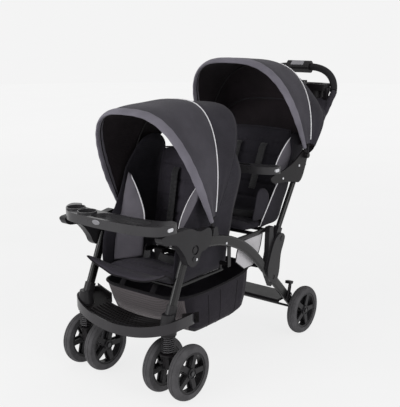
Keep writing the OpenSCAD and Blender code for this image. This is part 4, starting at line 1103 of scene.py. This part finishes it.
def disc(name, place, radius, height, mat, body, oval=1.0):
    """Low domed button. place takes its flat back, with the dome along +X, to the frame."""
    verts = []
    for r, h in DOME:
        for k in range(DOME_SIDES):
            t = 2 * math.pi * k / DOME_SIDES
            verts.append(place(height * h, radius * r * math.cos(t), radius * oval * r * math.sin(t)))
    faces = ring_faces(len(DOME), DOME_SIDES) + end_faces(len(DOME), DOME_SIDES)
    o = new_object(name, verts, faces, [mat])
    settle(body, "silver_plastic", o)


def tray_plate():
    """The plate sits where a ray from the front meets the tray."""
    start = Vector((PLATE_X, -1.0, PLATE_Z))
    hit, face, _, _ = nodes["front_tray"].ray_cast(start, Vector((0.0, 1.0, 0.0)))
    if hit:
        disc("tray_plate", lambda up, a, b: (PLATE_X + a, face.y + PLATE_SINK - up, PLATE_Z + b),
             PLATE_RADIUS, PLATE_HEIGHT, "dull", "child_tray_front", oval=PLATE_OVAL)


tray_plate()
for s, word in SIDES:
    for name, (x, y, z), radius, body in RIVETS:
        disc(name + word, lambda up, a, b: (s * (x + up), y + a, z + b), radius, RIVET_HEIGHT, "silver", body)

# Two tones on the footrest: its dish is part of a cylinder along Y, and its rim is an oval
DISH_Z, DISH_RADIUS, DISH_RIM = 0.877, 0.667, 0.0345
FOOT_Y, FOOT_HALF_X, FOOT_HALF_Y = -0.46, 0.233, 0.11
STEEP, OUTWARD = 0.75, 0.55


def tone_footrest():
    data = nodes["footrest"].data
    wear(data, "deep", "gloss")
    for p in data.polygons:
        c, nrm = p.center, p.normal
        height = DISH_RADIUS - math.hypot(c.x, DISH_Z - c.z)
        outward = nrm.x * c.x / FOOT_HALF_X + nrm.y * (c.y - FOOT_Y) / FOOT_HALF_Y
        p.material_index = 1 if height > DISH_RIM or (abs(nrm.z) < STEEP and outward > OUTWARD) else 0


tone_footrest()

# Floor, background and light
WHITE = (1.0, 1.0, 1.0, 1.0)
FLOOR_RADIUS, FLOOR_SIDES = 14, 96
FLOOR_DARK, FLOOR_LIGHT = 0.115, 0.125
SKY_LIGHT, SKY_SEEN = 0.50, 0.905
LAMP_AIM = Vector((0, 0, 0.5))
LAMPS = [("key", (-0.9, -3.6, 1.9), (2.6, 1.8), 66),
         ("side", (3.2, -0.8, 2.0), (1.6, 2.2), 34),
         ("top", (0.2, 0.3, 3.6), (3.0, 3.0), 12)]


def make_floor():
    """Pale floor that glows a little more away from the part, to meet the background."""
    bpy.ops.mesh.primitive_circle_add(vertices=FLOOR_SIDES, radius=FLOOR_RADIUS, fill_type="NGON",
                                      location=(0, 0, 0))
    floor = bpy.context.object
    floor.name = "floor"
    s = Surface("pale_floor", rough=0.95, specular=0.0)
    s.color(s.noise(1.5), shade(WHITE, FLOOR_DARK), shade(WHITE, FLOOR_LIGHT))
    away = s.node("ShaderNodeVectorMath", operation="LENGTH")
    s.link(s.coord, away.inputs[0])
    glow = s.map_range(away.outputs["Value"], from_min=1.0, from_max=6.0, to_min=0.800, to_max=0.855)
    s.bsdf.inputs["Emission Color"].default_value = WHITE
    s.link(glow, s.bsdf.inputs["Emission Strength"])
    floor.data.materials.append(s.mat)


def make_background():
    """White world, brighter where it is seen or mirrored than where it lights."""
    world = bpy.data.worlds.new("studio")
    world.use_nodes = True
    tree = world.node_tree
    sky = tree.nodes["Background"]
    sky.inputs["Color"].default_value = WHITE
    path = tree.nodes.new("ShaderNodeLightPath")
    seen = path.outputs["Is Camera Ray"]
    for ray in ("Is Transmission Ray", "Is Glossy Ray"):
        either = tree.nodes.new("ShaderNodeMath")
        either.operation = "MAXIMUM"
        tree.links.new(seen, either.inputs[0])
        tree.links.new(path.outputs[ray], either.inputs[1])
        seen = either.outputs[0]
    level = tree.nodes.new("ShaderNodeMapRange")
    level.inputs["To Min"].default_value = SKY_LIGHT
    level.inputs["To Max"].default_value = SKY_SEEN
    tree.links.new(seen, level.inputs["Value"])
    tree.links.new(level.outputs["Result"], sky.inputs["Strength"])
    bpy.context.scene.world = world
    bpy.context.scene.view_settings.view_transform = "Standard"


def make_lamp(name, place, size, power):
    data = bpy.data.lights.new(name, "AREA")
    data.shape = "RECTANGLE"
    data.size, data.size_y = size
    data.energy = power
    o = bpy.data.objects.new(name, data)
    o.location = place
    o.rotation_mode = "QUATERNION"
    o.rotation_quaternion = (LAMP_AIM - Vector(place)).to_track_quat("-Z", "Y")
    bpy.context.scene.collection.objects.link(o)


make_floor()
make_background()
for lamp in LAMPS:
    make_lamp(*lamp)
